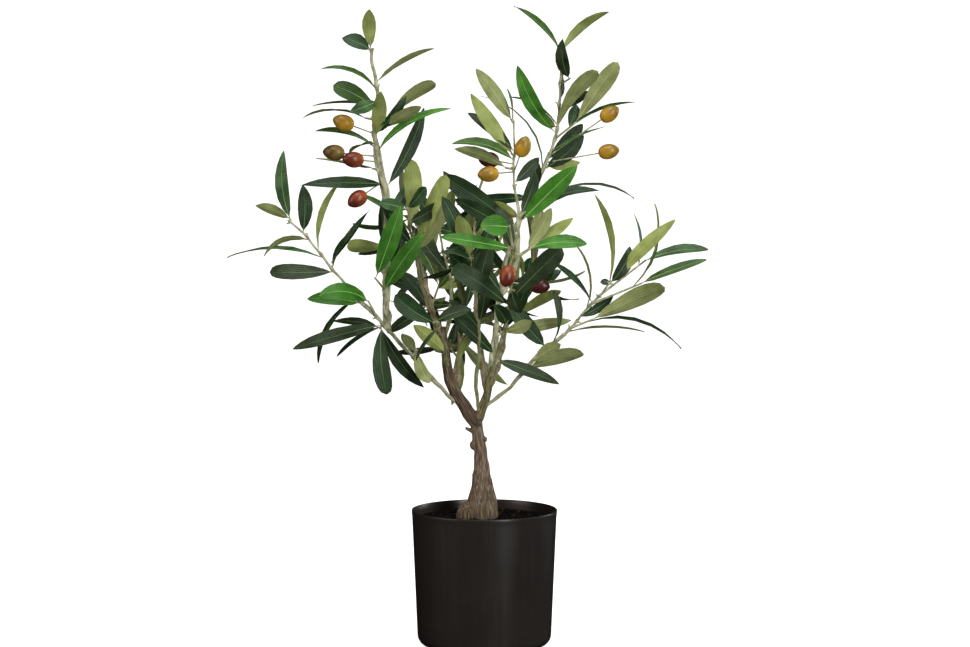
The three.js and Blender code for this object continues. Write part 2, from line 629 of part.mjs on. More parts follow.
function clearOf(solid, { line, radiusAt, spacing }) {
  const points = [...line.points];
  points.push(points.pop().clone().addScaledVector(tangentOn(line, 1), seatGap));
  const longer = { points, length: line.length };
  const grown = limb(longer, (t) => radiusAt(t) + seatGap, boughSides, 0, 1, spacing);
  return inOnePiece(solid.subtract(grown));
}

// The seeded rule: twigs leave the stem on turning sides, each with leaves that fan round its tip.
function dealTwigs(spray, number) {
  return Array.from({ length: backRule.twigs }, (_, i) => {
    const seed = number * 100 + i * 10;
    const at = backRule.firstAt + ((1 - backRule.firstAt) * i) / (backRule.twigs - 1);
    const turn = radians(backRule.turn * i + 360 * chance(seed));
    const clock = along(spray.clocks, at) + backRule.spread * Math.sin(turn);
    const lean = along(spray.leans, at) + backRule.spread * Math.cos(turn);
    const leaves = Array.from({ length: backRule.leaves }, (_, k) => {
      const around = radians((360 / backRule.leaves) * (k + 0.7 * chance(seed + k + 1)));
      return [
        clock + backRule.fan * Math.sin(around),
        backRule.leafLength + backRule.leafRange * (chance(seed + k + 3) - 0.5),
        lean + backRule.fan * Math.cos(around),
        360 * chance(seed + k + 4),
        backRule.curl * (0.5 + chance(seed + k + 5)),
        chance(seed + k + 2) < backRule.darkShare ? "dark" : "mid",
      ];
    });
    return { at, clock, lean, length: backRule.twigLength * (0.6 + 0.8 * chance(seed + 9)), leaves };
  });
}

const laid = [
  ...sprays.map(layOut),
  ...backSprays.map((spray, i) => layOut({
    ...spray, twigs: dealTwigs(spray, i + 1), olives: [], stations: backRule.stations,
  })),
];

// Every limb, stem, twig and olive takes its place before any leaf does.
markLimb(trunkLine, trunkRadius, "trunk");
for (const name of Object.keys(boughs)) markLimb(limbs[name].line, limbs[name].radiusAt, name);
for (const spray of laid) {
  markLimb(spray.line, spray.radiusAt, spray.name);
  spray.twigLines = spray.twigs.map(({ at, clock = 0, lean = 0, length = 0 }) => {
    const start = pointOn(spray.line, Math.min(at, 1 - sunk / spray.length));
    const line = course(start, length, [clock], [lean], 4);
    if (length > 0) markLimb(line, taper(twig.radius, twig.tipRadius), spray.name);
    return line;
  });
  spray.oliveLines = spray.olives.map(({ at, clock, lean, stalk }) => {
    const line = course(pointOn(spray.line, at), stalk + olive.length, [clock], [lean], 8);
    const middle = pointOn(line, (stalk + olive.length / 2) / line.length);
    placed.push({ point: middle, radius: olive.width / 2, owner: spray.name, limb: false });
    return line;
  });
}

function oliveSolid(line, stalk) {
  const stalkEnd = (stalk + 2) / line.length;
  const stalkSolid = limb(line, () => olive.stalkRadius, 3, 0, stalkEnd);
  const profile = [];
  for (let i = 0; i <= olive.along; i++) {
    const angle = (Math.PI * i) / olive.along;
    const radius = i % olive.along === 0 ? 0 : (olive.width / 2) * Math.sin(angle);
    const t = (stalk + (olive.length / 2) * (1 - Math.cos(angle))) / line.length;
    profile.push(new THREE.Vector2(radius, t));
  }
  const frameAt = (t) => {
    const tangent = tangentOn(line, t);
    const side = new THREE.Vector3().crossVectors(tangent, front).normalize();
    return { origin: pointOn(line, t), side, normal: new THREE.Vector3().crossVectors(side, tangent) };
  };
  return stalkSolid.add(solidOf(wrap(new THREE.LatheGeometry(profile, olive.around), frameAt)));
}

const leftOut = [];

// Leaves sit along the outer part of their twig, or a little apart round a joint in the stem.
function leafRoot(spray, { at, length = 0, leaves }, line, k) {
  const share = leaves.length === 1 ? 1 : k / (leaves.length - 1);
  if (length > 0) {
    const inward = (1 - share) * Math.min(twigReach, length / 2);
    return pointOn(line, 1 - (sunk + inward) / length);
  }
  const place = at + ((share - 0.5) * jointSpread) / spray.length;
  return pointOn(spray.line, Math.min(place, 1 - sunk / spray.length));
}

// A spray's solid: its stem past the bare stretch, its twigs, olives and every leaf that finds room.
function spraySolid(spray, number) {
  const firstT = spray.bare + seatGap / 2 / spray.length;
  let made = limb(spray.line, spray.radiusAt, stem.sides, spray.bare === 0 ? 0 : firstT, 1);
  spray.twigs.forEach((row, i) => {
    const line = spray.twigLines[i];
    if (row.length) made = made.add(limb(line, taper(twig.radius, twig.tipRadius), twig.sides));
    row.leaves.forEach((leafRow, k) => {
      const seed = number * 1000 + i * 20 + k;
      const root = leafRoot(spray, row, line, k);
      const found = leanSteps
        .map((step) => blade(root, leafRow, leafRow[2] + step, seed))
        .find((tried) => isClear(bladePoints(tried), spray.name));
      if (!found) {
        leftOut.push(spray.name + " twig " + i + " leaf " + k);
        return;
      }
      for (const { point, t } of bladePoints(found)) {
        if (t > 0.1) placed.push({ point, radius: 0, owner: spray.name, limb: false });
      }
      made = made.add(leafSolid(found, spray.stations));
    });
  });
  spray.olives.forEach(({ stalk }, i) => {
    made = made.add(oliveSolid(spray.oliveLines[i], stalk));
  });
  return clearOf(made, spray.parent);
}

// The tone that most of a spray's leaves have, which colours its mass.
function commonTone(spray) {
  const rowTones = spray.twigs.flatMap(({ leaves }) => leaves.map((row) => row[5]));
  const count = (tone) => rowTones.filter((other) => other === tone).length;
  return rowTones.reduce((best, tone) => (count(tone) > count(best) ? tone : best));
}

// The largest body alone: loose scraps are dropped, and a hollow that joining sealed is filled.
function inOnePiece(solid) {
  return solid.decompose().sort((a, b) => b.volume() - a.volume())[0];
}

addPiece("pot", potSolid(), "pot");
addPiece("pot_fill", fillSolid(), "fill");
addPiece("trunk", trunkSolid(), "bark");
for (const name of Object.keys(boughs)) {
  const { line, radiusAt, stub, spacing } = limbs[name];
  const start = (stub + seatGap) / line.length;
  addPiece(name + "_bough", limb(line, radiusAt, boughSides, start, 1, spacing), "bark");
}
laid.forEach((spray, i) => {
  addPiece(spray.name + "_spray", spraySolid(spray, i), commonTone(spray));
});
for (const { name, parent } of laid.filter(({ bare }) => bare > 0)) {
  const { line, radiusAt } = limbs[name];
  addPiece(name + "_bough", clearOf(limb(line, radiusAt, stemSides), parent), "stem");
}
if (leftOut.length) console.log(leftOut.length + " leaves found no room: " + leftOut.join(", "));

export default group;
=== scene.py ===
# An artificial olive tree, 600 mm tall, in a plain black plastic pot. Sizes here are in millimetres and
# angles in degrees, and each piece is brought to metres when it is finished.
import math

import bmesh
import bpy
import numpy as np
from mathutils import Matrix, Vector, noise


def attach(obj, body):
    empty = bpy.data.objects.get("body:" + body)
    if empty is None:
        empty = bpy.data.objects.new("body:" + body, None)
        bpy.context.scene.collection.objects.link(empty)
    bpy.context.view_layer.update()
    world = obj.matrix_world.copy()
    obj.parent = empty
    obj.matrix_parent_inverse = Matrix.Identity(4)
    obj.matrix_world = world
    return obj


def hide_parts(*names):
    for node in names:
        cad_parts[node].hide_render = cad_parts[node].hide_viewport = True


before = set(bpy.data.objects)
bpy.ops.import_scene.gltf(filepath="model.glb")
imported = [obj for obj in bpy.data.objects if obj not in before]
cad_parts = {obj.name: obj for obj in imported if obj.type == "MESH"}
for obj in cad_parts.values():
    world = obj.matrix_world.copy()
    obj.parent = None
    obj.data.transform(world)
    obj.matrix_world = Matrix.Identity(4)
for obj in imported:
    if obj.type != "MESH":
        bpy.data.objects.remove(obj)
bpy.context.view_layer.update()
mm = 0.001

# A rounding is its size and its number of steps.
pot = dict(height=127, rimRadius=68, footRadius=62.3, wall=1.8, floor=3, footRound=9, footSteps=7,
           lipBand=5, lipTop=2, lipProud=0.2, bandRound=(3, 3), shoulderRound=(0.6, 3), lipRound=(0.4, 3),
           innerRound=(5, 4), recess=1.2, recessRadius=46, recessSlope=1.5, steps=128)
fill = dict(belowRim=9, seatGap=0.3, rings=44, steps=150, grit=1.1, gritSize=4.5, fineGrit=0.6,
            fineSize=0.4, settled=0.6, edgeKept=0.5, mound=2.2, moundReach=26, bendAbove=4, bendInset=1.5,
            cornerInset=1)

# Headings are told as on a clock face seen from the front: clock 0 is up, 90 right and -90 left, and
# lean is the angle out of that face, towards the front where it is positive. A limb turns through its
# clocks and leans along its length.
trunk = dict(foot=(-2, 0), length=93, clocks=[0, 0, -2, -9, -4], neckRadius=5.5, footRadius=15,
             flareHeight=38, forkAt=0.97)
burr = dict(at=(-14, -3, 121), size=(12, 9, 14))
knots = [dict(at=(-10, -1, 187), size=(3.6, 3.6, 5)), dict(at=(-1, -2, 193), size=(3.6, 3.4, 3))]
snag = dict(at=0.86, clock=-66, length=13, radius=3.2, tipRadius=1.3, sides=16)
boughs = dict(
    left=dict(length=98, clocks=[-48, -30, -36, -22, -8, -6, -10, 4], radius=6.6, tipRadius=3.4),
    right=dict(length=55, clocks=[22, 20, 10, 18], radius=4.6, tipRadius=3.4),
)
stem = dict(radius=2.2, tipRadius=1.1, sides=8, spacing=2.5, swelling=0.8, swellingReach=2.2, kink=1.6,
            kinkLength=13, girth=dict(
                top_left=1.3, low_left=0.85, low_right=0.75, centre=0.75, middle=0.7, front_centre=0.7,
                front_left=0.75, mid_left=0.8, centre_left=0.8))
strand = dict(radius=1.1, tipRadius=0.8, sides=6, spacing=4, steps=14, run=95, nestle=0.75, sway=1.3)
stub = dict(each=2, length=(2.2, 4.6), radius=1.0, tipRadius=0.65, sides=5, rake=0.5, scatter=2.5)
twig = dict(radius=1.2, tipRadius=1, drawn=dict(radius=1.38, tipRadius=0.9), sides=6, spacing=5,
            sunk=1.6, leafReach=8, jointSpread=8)
leaf = dict(thickness=0.45, width=12, widthRange=3, stretch=1.2, fold=(0.12, 0.34), twist=34, sway=0.05,
            edgeOnTurn=62, edgeOnWidth=13, slimTip=0.82, broadTip=0.44,
            broadFrom=dict(dark=16.9, mid=15.5, bright=30))
olive = dict(length=20, width=14.6, stalk=dict(radius=0.8, tipRadius=0.64), sunk=2)

# A leaf that would come nearer than this to another piece leans by steps until it is clear, or else is
# left out.
clearance = dict(toOthers=3.2, toLimbs=2.4, toOwn=1.6, ownFrom=0.35, probes=10, bladeFrom=0.1, limbStep=4,
                 leans=[0, 10, -10, 20, -20, 32, -32, 44, -44])


# A twig: where it leaves the stem as a share of its length, its heading, its length, and its leaves,
# which sit along it from its root outwards.
def shoot(at, clock, lean, length, *leaves):
    return dict(at=at, clock=clock, lean=lean, length=length, leaves=leaves)


# A joint has no twig: its leaves sit on the stem itself.
def joint(at, *leaves):
    return shoot(at, 0, 0, 0, *leaves)


# One row is one leaf: clock and length of its chord, lean, roll about that chord (0 shows its upper side,
# 180 its underside, 90 its edge with the upper side turned clockwise), curl, tone, own width.
sprays = [
    dict(
        name="low_left", bough="left", start=0.2, length=238, bare=0.45,
        clocks=[-58, -46, -40, -40, -43, -45, -40, -38, -40, -46], leans=[10, 6, 4, 2, 0],
        twigs=[
            shoot(0.46, -150, 20, 6, (-105, 85, 5, 35, 40, "dark", 16),
                  (175, 65, 15, 10, 20, "dark", 17), (-125, 55, -20, 60, 20, "dark", 10),
                  (145, 70, -5, 25, 30, "dark", 14), (-85, 55, -30, 60, 20, "dark", 12)),
            shoot(0.49, -26, 24, 20, (-80, 50, 25, 40, 70, "bright", 19)),
            shoot(0.53, -50, 10, 12, (-85, 50, 0, 35, 40, "bright", 16)),
            shoot(0.6, -120, -10, 5, (-150, 70, -10, 60, 50, "dark", 12)),
            joint(0.75, (-90, 60, 5, 30, 35, "dark", 17), (25, 40, -15, -75, 30, "dark", 9),
                  (35, 75, -25, -50, 15, "dark", 9)),
            joint(0.82, (-90, 90, -5, 80, 45, "mid", 10), (20, 60, 5, -110, 45, "mid")),
            joint(0.91, (-110, 45, 20, 120, 80, "mid", 11), (0, 45, 0, 10, 20, "dark", 14)),
            shoot(1, -30, 0, 4, (-5, 65, 5, -25, 35, "mid", 15), (-70, 35, -10, 150, 30, "mid", 11)),
        ],
    ),
    dict(
        name="top_left", bough="low_left", start=0.95, length=262, bare=0,
        clocks=[-10, -2, 3, 4, 0, -11, -14, 0, 10, -12, -8], leans=[-4, 8, 12, 12],
        twigs=[
            shoot(0.12, -24, 40, 8, (35, 75, 25, 10, 15, "bright", 18)),
            shoot(0.14, -35, 50, 24, (20, 75, 15, 5, 20, "bright", 18)),
            joint(0.17, (20, 50, -20, 30, 15, "dark", 13)),
            joint(0.21, (0, 70, -30, 30, 20, "dark", 14)),
            shoot(0.29, -60, -20, 8, (-90, 35, -10, 150, 20, "mid", 16),
                  (5, 55, -20, 20, 10, "dark", 10)),
            joint(0.38, (30, 40, -45, 30, 20, "mid")),
            shoot(0.5, 30, -10, 6, (25, 85, -15, 30, 20, "dark", 14), (-90, 80, 0, 40, 45, "dark", 14)),
            shoot(0.57, -80, -5, 8, (-80, 65, -10, -80, -15, "mid", 9)),
            joint(0.65, (60, 80, 10, -50, 50, "bright", 12), (-75, 60, -10, 60, 45, "mid", 9),
                  (-110, 30, -30, 85, 50, "mid", 8)),
            joint(0.7, (10, 55, 40, 170, 10, "mid", 14), (40, 45, 10, 30, 50, "dark", 10),
                  (65, 55, 30, -150, 25, "mid", 12)),
            shoot(0.73, 56, -12, 20, (55, 50, -10, -140, 55, "mid", 16)),
            shoot(0.75, -80, 0, 10, (-90, 60, -10, 85, 55, "mid", 9)),
            joint(0.8, (-60, 50, 30, 15, 30, "mid", 16), (-90, 65, -20, 75, 25, "dark", 8),
                  (-115, 50, 60, 10, 15, "mid", 12)),
            joint(0.87, (-70, 55, 5, 70, 65, "mid", 11), (60, 60, -5, -110, 25, "mid", 11)),
            shoot(1, -10, 0, 3, (-65, 30, -15, 20, 25, "dark", 14), (0, 40, 30, 165, 20, "mid", 13)),
        ],
        olives=[
            dict(at=0.7, clock=-70, lean=5, stalk=20, tone="amber"),
            dict(at=0.6, clock=-85, lean=25, stalk=15, tone="russet"),
            dict(at=0.62, clock=-85, lean=-5, stalk=30, tone="umber"),
            dict(at=0.53, clock=-125, lean=20, stalk=20, tone="russet"),
        ],
    ),
    dict(
        name="mid_left", bough="left", start=0.97, length=122, bare=0,
        clocks=[-40, -20, -8, -15, -4], leans=[16, 14, 10, 8],
        twigs=[
            joint(0.2, (-40, 55, -25, 10, 15, "dark", 14), (-125, 40, -10, 20, 20, "dark")),
            joint(0.42, (70, 40, 20, 60, 30, "dark", 9)),
            joint(0.66, (20, 80, -5, 160, 15, "mid", 18), (30, 60, 20, 140, 45, "mid", 13),
                  (-35, 45, -30, 20, 15, "dark")),
            joint(0.86, (0, 70, -20, 170, 15, "mid", 17), (60, 40, -30, 20, 20, "dark", 14)),
            shoot(1, 0, 0, 3, (-75, 30, 10, 20, 10, "mid", 12), (40, 30, -30, 30, 15, "dark", 13)),
        ],
    ),
    dict(
        name="centre_left", bough="left", start=0.8, length=118, bare=0.45,
        clocks=[2, 12, -4, -18, -6], leans=[-34, -14, -4],
        twigs=[
            joint(0.58, (75, 45, -10, -80, 10, "dark", 9), (-40, 45, -20, 20, 20, "dark")),
            shoot(0.8, 60, 10, 10, (75, 30, 20, 10, 15, "dark", 12), (30, 40, 35, 170, 10, "mid")),
            shoot(1, 0, 0, 4, (20, 40, 10, 160, 15, "mid", 14), (-30, 40, -10, 15, 20, "dark"),
                  (60, 55, -20, 20, 15, "dark"), (5, 50, -35, 20, 15, "dark")),
        ],
    ),
    dict(
        name="front_left", bough="left", start=0.62, length=116, bare=0.25,
        clocks=[0, -8, -24], leans=[68, 66, 58],
        twigs=[
            joint(0.3, (-50, 40, -10, 165, 15, "mid", 14)),
            joint(0.84, (-145, 35, 10, 60, 40, "dark", 9)),
            joint(1, (-55, 45, 10, 0, 15, "dark", 18), (70, 35, 10, -45, 45, "dark", 14)),
        ],
    ),
    dict(
        name="knot_shoot", bough="left", start=0.52, length=14, bare=0,
        clocks=[40], leans=[4],
        twigs=[
            joint(1, (30, 40, 5, -130, 40, "mid", 11)),
        ],
    ),
    dict(
        name="low_shoot", bough="low_left", start=0.62, length=10, bare=0,
        clocks=[20], leans=[20],
        twigs=[
            joint(1, (-30, 30, 10, 165, 20, "mid", 11), (155, 40, 40, 150, 30, "mid", 13)),
        ],
    ),
    dict(
        name="middle", bough="right", start=0.14, length=168, bare=0.5,
        clocks=[-12, 0, 6, -2, -10, -8], leans=[34, 30, 24, 14],
        twigs=[
            joint(0.6, (-45, 35, 20, 20, 20, "dark"), (10, 35, 20, 20, 15, "dark", 11)),
            joint(0.8, (15, 55, 5, 10, 20, "dark", 15), (-30, 40, 25, 150, 20, "mid", 14)),
            joint(0.9, (-50, 35, 40, 10, 25, "dark", 12)),
            shoot(1, 0, 0, 4, (-75, 25, 20, 10, 20, "dark", 12), (-15, 45, 25, 165, 20, "mid", 15),
                  (30, 40, -10, 20, 20, "dark"), (-25, 60, 0, 10, 15, "dark", 16)),
        ],
    ),
    dict(
        name="front_centre", bough="right", start=0.4, length=196, bare=0.42,
        clocks=[10, 14, 16, 4, 0], leans=[50, 46, 40, 34, 28],
        twigs=[
            joint(0.55, (70, 30, 30, 160, 20, "mid", 12), (-30, 45, 60, 15, 20, "dark", 13)),
            joint(0.7, (-55, 65, 15, 10, 25, "dark", 18), (45, 65, 5, 5, 20, "dark", 19)),
            joint(0.76, (160, 25, -20, 20, 20, "dark", 13)),
            shoot(0.93, 54, 20, 22, (85, 50, 10, -35, 45, "bright", 15)),
            joint(0.96, (-20, 40, -30, 15, 20, "dark")),
            joint(1, (-80, 65, 10, 35, 40, "bright", 14)),
            shoot(1, -8, 26, 24, (-85, 30, 30, 10, 30, "bright", 19)),
            shoot(1, 16, 16, 28, (45, 70, 10, -5, 15, "bright", 18)),
        ],
        olives=[
            dict(at=0.96, clock=-165, lean=25, stalk=10, tone="russet"),
        ],
    ),
    dict(
        name="centre", bough="right", start=0.96, length=236, bare=0,
        clocks=[12, 8, -6, 8, 40, 12, 4, 0, -10, -5, 4, -4, -3], leans=[10, 6, 4, 0, 0],
        twigs=[
            joint(0.02, (110, 65, 10, -35, 50, "dark", 14)),
            joint(0.04, (-45, 60, 15, 20, 30, "dark", 14)),
            joint(0.13, (80, 70, 5, 160, 25, "mid", 12)),
            joint(0.28, (120, 45, -25, 60, 30, "dark", 9)),
            joint(0.32, (-35, 40, -20, 20, 15, "dark"), (70, 25, -10, 20, 15, "dark")),
            shoot(0.47, 58, 4, 20, (30, 45, -5, 160, 15, "mid", 14), (55, 45, -10, 150, 20, "mid", 13)),
            joint(0.53, (-60, 70, -10, 10, 15, "dark", 15)),
            joint(0.59, (-55, 90, -30, 5, 15, "dark", 17), (45, 40, -20, 60, 20, "dark", 10)),
            shoot(0.62, 40, 26, 5, (-65, 35, -20, 160, 15, "mid", 12),
                  (20, 45, -20, 20, 15, "dark", 14)),
            joint(0.74, (45, 35, -30, 20, 15, "dark", 12)),
            shoot(0.81, -80, -20, 9, (-70, 55, -10, 160, 20, "mid", 11)),
            joint(0.86, (-75, 60, 10, 45, 60, "mid", 14), (-35, 70, 0, -160, 25, "mid", 15),
                  (-50, 60, -20, 20, 20, "dark", 12)),
            shoot(1, -6, 0, 3, (-35, 60, 5, -160, 30, "mid", 15), (-10, 30, -10, 85, 20, "mid", 8)),
        ],
        olives=[
            dict(at=0.8, clock=20, lean=15, stalk=15, tone="amber"),
            dict(at=0.8, clock=-95, lean=20, stalk=15, tone="amber"),
            dict(at=0.83, clock=-80, lean=-20, stalk=15, tone="plum"),
            dict(at=0.36, clock=95, lean=25, stalk=20, tone="plum"),
        ],
    ),
    dict(
        name="top_right", bough="right", start=0.7, length=334, bare=0.48,
        clocks=[2, 8, 10, 9, 10, 28, 28, 20, 8, 2, 2], leans=[-34, -18, -10, -6, -4],
        twigs=[
            shoot(0.52, 72, 4, 22, (75, 65, 10, -50, 40, "dark", 11), (85, 95, -10, -85, 80, "mid", 8),
                  (70, 35, -20, -70, 20, "mid", 8), (-170, 35, 10, 165, 10, "mid", 12)),
            joint(0.58, (-95, 85, 25, 30, 45, "dark", 13), (0, 35, 30, 10, 15, "dark", 12)),
            joint(0.66, (-40, 95, 5, 80, 85, "mid", 9), (50, 50, -5, 10, 15, "dark", 15),
                  (85, 45, -40, 160, 20, "mid", 12)),
            joint(0.7, (45, 50, -15, 10, 15, "dark", 15), (65, 60, 20, -75, 15, "mid", 8)),
            shoot(0.75, 52, 4, 27, (20, 25, -20, 10, 15, "dark", 12), (70, 65, -5, -80, 30, "mid", 10),
                  (35, 70, 5, 170, 20, "mid", 18)),
            joint(0.78, (-30, 75, 10, -20, 35, "bright", 16), (35, 70, 5, -150, 45, "mid", 16),
                  (-55, 35, -35, 160, 15, "mid", 12), (-60, 55, -15, 85, 50, "mid", 8)),
            joint(0.85, (60, 40, -30, 20, 20, "dark", 10), (5, 30, -20, 80, 15, "dark", 8)),
            shoot(0.91, 60, 4, 11, (-10, 40, 15, -35, 70, "dark", 15)),
            shoot(1, -10, 0, 3, (-45, 65, -5, 65, 40, "mid", 11), (50, 60, 5, -130, 75, "mid", 14)),
        ],
        olives=[
            dict(at=0.7, clock=55, lean=10, stalk=60, tone="amber"),
            dict(at=0.68, clock=80, lean=10, stalk=50, tone="amber"),
        ],
    ),
    dict(
        name="low_right", bough="right", start=0.26, length=168, bare=0.32,
        clocks=[56, 52, 46, 34, 46, 54, 42, 40, 46, 38], leans=[8, 4, 0, 0],
        twigs=[
            joint(0.36, (75, 55, 5, -150, 35, "mid", 17), (55, 35, 25, 170, 10, "mid", 14)),
            joint(0.52, (-40, 55, 10, 5, 20, "dark", 16), (0, 50, -5, 60, 60, "dark", 12)),
            joint(0.61, (90, 75, 5, -100, 30, "mid", 10)),
            shoot(0.66, 68, 4, 24, (105, 95, -5, -85, 65, "dark", 9),
                  (65, 75, 10, -165, 30, "mid", 19)),
            # This small dark leaf stands for the dark strip along the top edge of the broad underside
            # leaf below it, where that leaf is in shade at its fold: painted shade set in as a leaf.
            joint(0.72, (60, 40, -20, 20, 20, "dark", 10)),
            joint(0.83, (-10, 60, 0, 80, 60, "mid", 9), (-45, 55, -15, 70, 20, "dark", 10)),
            shoot(0.84, 68, -6, 52, (15, 80, -5, 85, 60, "mid", 9), (70, 65, 0, -45, 20, "mid", 12)),
            shoot(0.9, 54, -20, 60, (-5, 50, -10, 80, 35, "mid", 8), (80, 60, 0, -45, 30, "mid", 13)),
            shoot(1, 30, 0, 4, (-10, 85, 0, 110, 40, "mid", 12), (30, 40, -15, 20, 80, "dark", 14),
                  (45, 85, 10, 155, 20, "mid", 13), (-90, 10, 10, 20, 20, "dark", 6)),
        ],
    ),
]

# The sprays behind carry the same kinds of twig and leaf, dealt out by the seeded rule alone.
backSprays = [
    dict(name="back_left", bough="left", start=0.66, length=186, bare=0.36,
         clocks=[-22, -14, -6], leans=[-52, -48, -34]),
    dict(name="back_low", bough="left", start=0.36, length=140, bare=0.3,
         clocks=[10, -10], leans=[-64, -60, -50]),
    dict(name="back_centre", bough="right", start=0.5, length=206, bare=0.34,
         clocks=[-12, -4, 0], leans=[-52, -40, -26]),
    dict(name="back_right", bough="right", start=0.6, length=186, bare=0.38,
         clocks=[30, 14, 10, 8], leans=[-62, -52, -46, -34]),
]
backRule = dict(twigs=6, firstAt=0.42, turn=137.5, spread=46, twigLength=20, twigRange=(0.6, 0.8),
                leaves=4, leafLength=56, leafRange=18, fan=60, jitter=0.7, curl=35, darkShare=0.5)

front = Vector((0, -1, 0))


# A repeatable number from 0 to 1 for each seed.
def chance(seed):
    wave = math.sin(seed * 127.1 + 11.7) * 43758.5453
    return wave - math.floor(wave)


def heading(clock, lean):
    clock, lean = math.radians(clock), math.radians(lean)
    return Vector((math.sin(clock) * math.cos(lean), -math.sin(lean), math.cos(clock) * math.cos(lean)))


def mix(a, b, share):
    return a + (b - a) * share


# The value at share t of a list of values that are spread evenly over a length.
def along(values, t):
    place = min(max(t, 0), 1) * (len(values) - 1)
    low = min(math.floor(place), len(values) - 2)
    return values[0] if len(values) == 1 else mix(values[low], values[low + 1], place - low)


# The course of a limb from its start: points at even steps, turning through its clocks and leans.
def course(start, length, clocks, leans, steps=24):
    points = [Vector(start)]
    for i in range(steps):
        t = (i + 0.5) / steps
        points.append(points[-1] + heading(along(clocks, t), along(leans, t)) * (length / steps))
    return dict(points=points, length=length)


def pointOn(line, t):
    place = min(max(t, 0), 1) * (len(line["points"]) - 1)
    low = min(math.floor(place), len(line["points"]) - 2)
    return line["points"][low].lerp(line["points"][low + 1], place - low)


# The point at share t of a line, with its side, its normal and its tangent there.
def frameOn(line, t):
    reach = 0.5 / len(line["points"])
    tangent = (pointOn(line, t + reach) - pointOn(line, t - reach)).normalized()
    side = tangent.cross(front).normalized()
    return pointOn(line, t), side, side.cross(tangent), tangent


# A limb's radius at any share of its length, as a function.
def taper(limb, girth=1):
    return lambda t: mix(limb["radius"] * girth, limb["tipRadius"] * girth, t)


def lancetShare(t, tipFullness):
    widest = 1 / (1 + tipFullness)
    return t * (1 - t) ** tipFullness / (widest * (1 - widest) ** tipFullness)


# A leaf's blade as a bent strip: its middle, side and face direction at any share of its length.
def blade(root, row, lean, seed):
    clock, length, _, roll, curl, tone, *ownWidth = row
    if ownWidth:
        width = ownWidth[0]
    else:
        length *= leaf["stretch"]
        width = leaf["width"] + leaf["widthRange"] * (chance(seed) - 0.5)
    if abs(math.cos(math.radians(roll))) < math.cos(math.radians(leaf["edgeOnTurn"])):
        width = max(width, leaf["edgeOnWidth"])  # edge-on, it still shows its curl and both its faces
    chord = heading(clock, lean)
    face = (front - chord * front.dot(chord)).normalized()
    face.rotate(Matrix.Rotation(math.radians(roll), 3, chord))
    side = chord.cross(face)
    half = math.radians(curl) / 2
    radius = length / (2 * math.sin(half))
    sway = length * leaf["sway"] * (2 * chance(seed + 0.9) - 1)
    twist = math.radians(leaf["twist"]) * (chance(seed + 0.5) - 0.5)
    tipFullness = leaf["broadTip" if width >= leaf["broadFrom"][tone] else "slimTip"]

    def frameAt(t):
        angle = half * (1 - 2 * t)
        tangent = chord * math.cos(angle) + face * math.sin(angle)
        origin = (root + chord * (radius * (math.sin(half) - math.sin(angle)))
                  + face * (radius * (math.cos(angle) - math.cos(half)))
                  + side * (sway * math.sin(math.pi * t)))
        turn = Matrix.Rotation(twist * (2 * t - 1), 3, tangent)
        return origin, turn @ side, turn @ side.cross(tangent)

    return dict(frameAt=frameAt, halfWidth=lambda t: width / 2 * lancetShare(t, tipFullness),
                length=length, fold=mix(*leaf["fold"], chance(seed + 0.3)), tone=tone, seed=seed)


# The places taken so far, one row each: x, y, z, radius, spray number, and 1 for a limb.
taken = np.zeros((40000, 6))
takenCount = 0


def take(point, radius, owner, isLimb):
    global takenCount
    taken[takenCount] = (*point, radius, owner, isLimb)
    takenCount += 1


def takeLimb(line, radiusAt, owner):
    count = max(2, math.ceil(line["length"] / clearance["limbStep"]))
    for i in range(count + 1):
        take(pointOn(line, i / count), radiusAt(i / count), owner, 1)


# Points down a blade's middle and both its margins, each with its share of the length.
def bladePoints(strip):
    points = []
    for i in range(1, clearance["probes"] + 1):
        t = i / clearance["probes"]
        origin, side, _ = strip["frameAt"](t)
        points += [(*(origin + side * (across * strip["halfWidth"](t))), t) for across in (-1, 0, 1)]
    return np.array(points)


def isClear(points, owner):
    others = taken[:takenCount]
    own = others[:, 4] == owner
    toOthers = np.where(others[:, 5] > 0, clearance["toLimbs"], clearance["toOthers"])
    gap = np.where(own, clearance["toOwn"], toOthers)
    near = np.linalg.norm(points[:, None, :3] - others[None, :, :3], axis=2) <= gap + others[:, 3]
    skipped = own & ((others[:, 5] > 0) | (points[:, 3:] < clearance["ownFrom"]))
    return not (near & ~skipped).any()


# The seeded rule: twigs leave the stem on turning sides, each with leaves that fan round its tip.
def dealTwigs(spray, number):
    rule, twigs = backRule, []
    for i in range(rule["twigs"]):
        seed = number * 100 + i * 10
        at = mix(rule["firstAt"], 1, i / (rule["twigs"] - 1))
        turn = math.radians(rule["turn"] * i + 360 * chance(seed))
        clock = along(spray["clocks"], at) + rule["spread"] * math.sin(turn)
        lean = along(spray["leans"], at) + rule["spread"] * math.cos(turn)
        leaves = []
        for k in range(rule["leaves"]):
            around = math.radians(360 / rule["leaves"] * (k + rule["jitter"] * chance(seed + k + 1)))
            leaves.append((
                clock + rule["fan"] * math.sin(around),
                rule["leafLength"] + rule["leafRange"] * (chance(seed + k + 3) - 0.5),
                lean + rule["fan"] * math.cos(around),
                360 * chance(seed + k + 4),
                rule["curl"] * (0.5 + chance(seed + k + 5)),
                "dark" if chance(seed + k + 2) < rule["darkShare"] else "mid"))
        low, spread = rule["twigRange"]
        length = rule["twigLength"] * (low + spread * chance(seed + 9))
        twigs.append(shoot(at, clock, lean, length, *leaves))
    return twigs


# The last share of a stem where a twig or leaf still roots inside it.
def outermost(spray):
    return 1 - twig["sunk"] / spray["length"]


